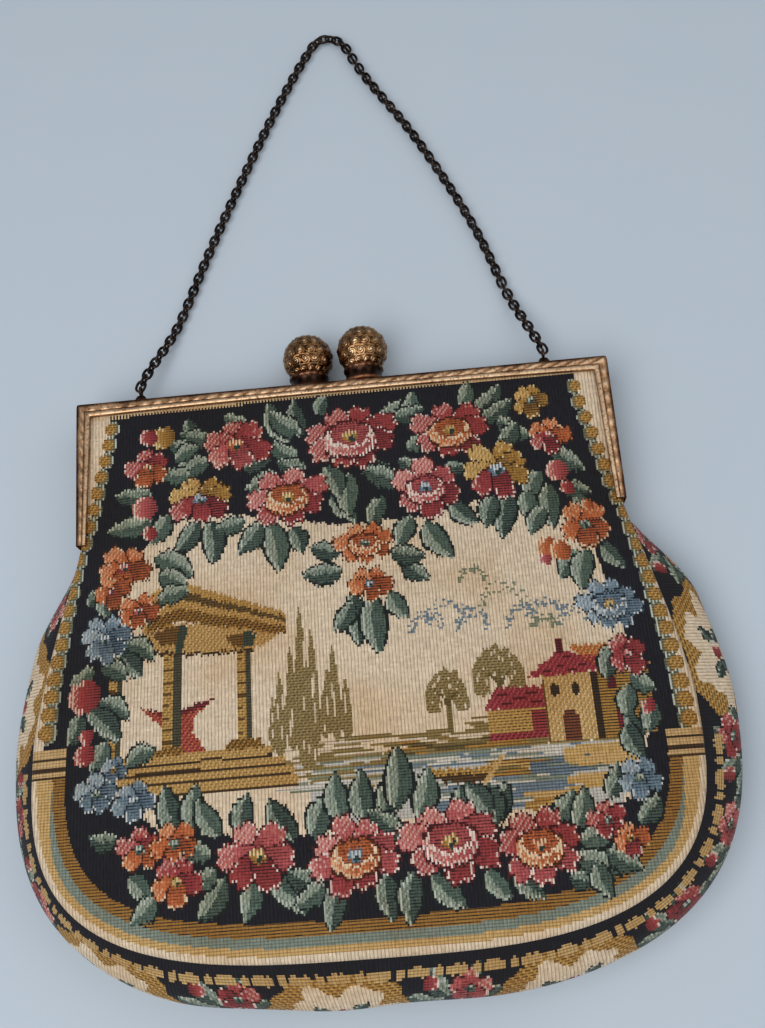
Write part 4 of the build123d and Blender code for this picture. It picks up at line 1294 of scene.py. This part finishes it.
def tab_grid():
    """Tab that carries a back ear from the inside of its leg."""
    near, top = INNER_EAR - SHEET, HINGE_Y + 8
    z = (PARTING - 3.0, PARTING - PARTING_GAP / 2)
    loops = []
    for y, shrink in ((HINGE_Y, 1), (HINGE_Y, 0), (HINGE_Y + EAR_ROOM, 0), (top, 0), (top, 1)):
        far = INNER_EAR if y < HINGE_Y + EAR_ROOM else FRAME_HALF - SHEET + 0.1
        loop = np.array([(near, y, z[0]), (far, y, z[0]), (far, y, z[1]), (near, y, z[1])])
        loops.append(loop + (loop.mean(0) - loop) * shrink * 0.999)
    return np.array(loops)[:, ::-1]


def frame_halves():
    """Both halves of the frame with their hinge ears, and the rivets."""
    hub = np.array([0, HINGE_Y, PARTING])
    small = EAR_RADIUS - EAR_BEVEL
    for side, name, body in ((1, "front_frame", "front_half"), (-1, "back_frame", "bag")):
        low, high = (FRAME_HALF - SHEET, FRAME_HALF + 0.04) if side > 0 else (INNER_EAR - SHEET, INNER_EAR)
        profile = ((low, 0), (low, small), (low + EAR_BEVEL, EAR_RADIUS), (high - EAR_BEVEL, EAR_RADIUS),
                   (high, small), (high, 0))
        grids = [frame_shell(side)]
        for sign in (-1, 1):
            grids.append((on_side(lathe(profile, hub, 0, 40), sign), 0.5))
            if side < 0:
                grids.append((on_side(tab_grid(), sign), 0.4))
        metal_piece(name + "_metal", grids, "frame_metal", body, name)
    dome = ((0.6, 0.0), (0.57, 0.6), (0.45, 1.2), (0.2, 1.65), (0.0, 1.8))
    outer = FRAME_HALF + RIVET_PLAY
    inner = INNER_EAR - SHEET - RIVET_PLAY
    profile = [(inner - lift, radius) for lift, radius in dome] + [(inner, 0.9), (outer, 0.9)]
    profile += [(outer + lift, radius) for lift, radius in dome[::-1]]
    grids = [(on_side(lathe(profile, hub, 0, 28), sign), 0.8) for sign in (-1, 1)]
    metal_piece("rivet_metal", grids, "frame_metal", "bag", "hinge_rivets")


def clasp_ball(half, x, side, body):
    """Ball pressed with a filigree of curling strands."""
    polar = np.linspace(0.0, BALL_END, 110)[:, None]
    turn = np.linspace(0, 2 * pi, 180, endpoint=False)[None, :]
    row = polar * SCROLL_ROWS / pi
    u = (turn * SCROLLS / (2 * pi) + 0.5 * np.floor(row)) % 1 - 0.5
    v = row % 1 - 0.5
    off = np.hypot(u * 1.7 * np.sin(polar)**0.5, v * 1.7)
    strand = 0.5 + 0.5 * np.cos(3 * (np.arctan2(v, u) + 5.0 * off))
    boss = np.clip(1 - off, 0, 1)
    lift = np.clip(boss**0.5 * (0.35 + 0.65 * strand) + 0.5 * np.exp(-(off / 0.16)**2), 0, 1)
    band = np.exp(-((row - np.round(row)) / 0.07)**2) * 0.6 * (row > 0.5)
    lift = np.maximum(lift * smooth_step(polar / 0.25), band)
    radius = BALL_RADIUS - 0.15 + BALL_LIFT * lift
    points = np.stack([radius * np.sin(polar) * np.cos(turn), radius * np.cos(polar) + 0 * turn,
                       radius * np.sin(polar) * np.sin(turn)], -1)
    points += (x, FRAME_TOP + BALL_RISE, PARTING + side * CLASP_OFFSET)
    name = half + "_clasp_ball"
    # The lift serves as the ridge value: the raised strands get the painted highlight, the hollows between
    # them the dark tone
    metal_piece(name + "_metal", [(points, lift)], "clasp_metal", body, name)


def clasp_collar(half, x, side, body):
    """Flared collar: a dotted copper foot, a waist in dark metal as painted shade under the ball, and a
    rope ring under the ball.
    """
    profile = [(FRAME_TOP + y, COLLAR_RADIUS + r) for y, r in (
        (0, -1.2), (0, -0.1), (0.2, 0.1), (0.5, 0.18), (0.8, 0.1), (1, -0.15), (1.3, -0.3), (2.2, -0.45),
        (2.8, -0.4), (3.3, -0.2), (3.6, 0), (3.9, 0.14), (4.2, 0.1), (4.5, -0.1), (4.8, -0.5), (5, -1))]
    turn = np.arange(72)
    grid = lathe(profile, np.array([x, 0, PARTING + side * CLASP_OFFSET]), 1, len(turn))
    hangs = (grid[..., 2] - PARTING) * side < PARTING_GAP / 2
    grid[..., 1] = np.where(hangs, np.maximum(grid[..., 1], FRAME_TOP + COLLAR_PLAY), grid[..., 1])
    # Ridge values: the rope ring's high values get the painted highlight, the dots of the foot the dark
    # tone of the hollows
    ridge = np.full(grid.shape[:2], 0.3)
    ridge[:6] = 0.6
    ridge[7:9, turn % 6 < 3] = 0.0
    ridge[10:14] = np.where(turn % 4 < 2, 0.7, 0.3)
    name = half + "_clasp_collar"
    piece = metal_piece(name + "_metal", [(grid, ridge)], "foot_metal", body, name)
    # Painted shade: the waist under the ball is given the dark metal
    piece.data.materials.append(METAL["dark_metal"])
    level = np.arange(len(piece.data.polygons)) // len(turn)
    piece.data.polygons.foreach_set("material_index", ((level >= 5) & (level < 10)).astype(np.int32))


def ring_grid(path, normals, wire, sides):
    """Round wire bent along a closed path that lies in a plane."""
    tangent = np.roll(path, -1, 0) - np.roll(path, 1, 0)
    tangent /= np.linalg.norm(tangent, axis=1)[:, None]
    out = np.cross(tangent, normals)
    turn = np.linspace(0, 2 * pi, sides, endpoint=False)[None, :, None]
    grid = path[:, None] + wire / 2 * (np.cos(turn) * out[:, None] + np.sin(turn) * normals)
    return np.concatenate([grid, grid[:1]])


def chain_lug(name, x):
    """Flared foot and eye that hold one end of the chain."""
    eye_z = PARTING - EYE_DROP
    turn = np.linspace(0, 2 * pi, 32, endpoint=False)
    c, s = np.cos(turn), np.sin(turn)
    radius = EYE_HOLE + EYE_WIRE / 2
    path = np.stack([x + 0 * turn, FRAME_TOP + EYE_RISE + radius * c, eye_z + radius * s], 1)
    eye = ring_grid(path, np.array([1.0, 0, 0]), EYE_WIRE, 12)
    neck = EYE_RISE - EYE_HOLE - EYE_WIRE / 2
    loops = []
    for t in (0, 0, 0.06, 0.12, 0.3, 0.5, 0.7, 0.85, 1, 1):
        shrink = 0.02 if len(loops) in (0, 9) else 1
        flare = (1 - t)**0.5
        half_x = (0.9 + 1.3 * flare) * shrink
        half_z = (EYE_WIRE / 2 + 0.97 * flare) * shrink
        loops.append(np.stack([x + half_x * np.sign(c) * np.abs(c)**0.7, FRAME_TOP + neck * t + 0 * c,
                               eye_z + half_z * np.sign(s) * np.abs(s)**0.7], 1))
    grids = [(eye, 0.6), (np.array(loops)[:, ::-1], 0.45)]
    metal_piece(name + "_metal", grids, "dark_metal", "bag", name)


def chain():
    """Smooth oval links, each laid where the CAD model has one."""
    source = frame["nodes"]["chain_links"]
    corners = np.zeros(3 * len(source.data.vertices))
    source.data.vertices.foreach_get("co", corners)
    turned = np.array(source.matrix_world)
    corners = (corners.reshape(-1, 3) @ turned[:3, :3].T + turned[:3, 3]) / MM
    turn = np.linspace(0, 2 * pi, 24, endpoint=False)
    half_length = (LINK_LENGTH - LINK_WIRE) / 2
    half_width = (LINK_WIDTH - LINK_WIRE) / 2
    flat = np.stack([half * np.sign(wave) * np.abs(wave)**0.8
                     for half, wave in ((half_length, np.cos(turn)), (half_width, np.sin(turn)))], 1)
    # Ridge values highest at the ends of each link, which the metal shows as a painted highlight
    ridge = 0.35 + 0.5 * np.abs(np.cos(np.append(turn, turn[0])))[:, None]**4
    grids = []
    for link in corners.reshape(-1, CORNERS_PER_LINK, 3):
        axes = np.linalg.svd(link - link.mean(0))[2]
        path = link.mean(0) + flat @ axes[:2]
        grids.append((ring_grid(path, np.cross(axes[0], axes[1]), LINK_WIRE, 10), ridge))
    metal_piece("chain_metal", grids, "chain_metal", "chain", "chain_links")


# Pieces of the purse

GRID_X = np.arange(-SEAM_HALF - STITCH_WIDTH, SEAM_HALF + 1.5 * STITCH_WIDTH, STITCH_WIDTH)
GRID_Y = np.arange(-SEAM_BOTTOM - STITCH_HEIGHT / 2, CHANNEL_TOP - STITCH_HEIGHT / 2, STITCH_HEIGHT)
GRID_Y = np.append(GRID_Y, CHANNEL_TOP)
design = panel_design((GRID_X[:-1] + GRID_X[1:]) / 2, (GRID_Y[:-1] + GRID_Y[1:]) / 2)
front_cloth(design, GRID_X, GRID_Y)
back_cloth(design, GRID_X, GRID_Y)
gusset_cloth()
lining_cloth()
frame_halves()
for make in (clasp_ball, clasp_collar):
    for clasp in CLASPS:
        make(*clasp)
chain_lug("left_chain_lug", -LUG_X)
chain_lug("right_chain_lug", LUG_X)
chain()


# Stage

def floor_material():
    """Plain pale blue-grey ground."""
    g = Graph("floor")
    soft = g.noise(g.place(), 30.0, 2.0)
    return g.finish(base_color=g.mix(soft, rgba(196, 208, 219), rgba(199, 210, 221)), roughness=0.85)


FLOOR_HALF = 900.0
FLOOR_DROP = 0.2
FLOOR_CORNERS = ((-1, -1), (1, -1), (1, 1), (-1, 1))
LIGHTS = (("key", (-0.25, -0.25, 0.75), 0.7, 4.4), ("fill", (0.45, 0.1, 0.7), 0.9, 1.6))

corners = [(x * FLOOR_HALF, y * FLOOR_HALF, -FLOOR_DROP) for x, y in FLOOR_CORNERS]
ground = new_piece("floor", corners, [(0, 1, 2, 3)], floor_material())
for name, place, size, power in LIGHTS:
    light = bpy.data.lights.new(name, "AREA")
    light.size = size
    light.energy = power
    lamp = new_object(name, light)
    lamp.location = place
    lamp.rotation_euler = (-Vector(place)).to_track_quat("-Z", "Y").to_euler()

scene = bpy.context.scene
world = bpy.data.worlds.new("studio")
world.use_nodes = True
sky = world.node_tree.nodes["Background"].inputs
sky["Color"].default_value = (0.9, 0.95, 1.0, 1)
sky["Strength"].default_value = 0.25
scene.world = world
scene.view_settings.view_transform = "Standard"

lens = bpy.data.cameras.new("photo_view")
lens.lens = 42.02
lens.sensor_width = 36.0
lens.clip_start = 0.01
camera = new_object("photo_view", lens)
camera.location = (0.02026, -0.04916, 0.30288)
camera.rotation_euler = (radians(17.339), radians(3.638), radians(-4.242))
scene.camera = camera
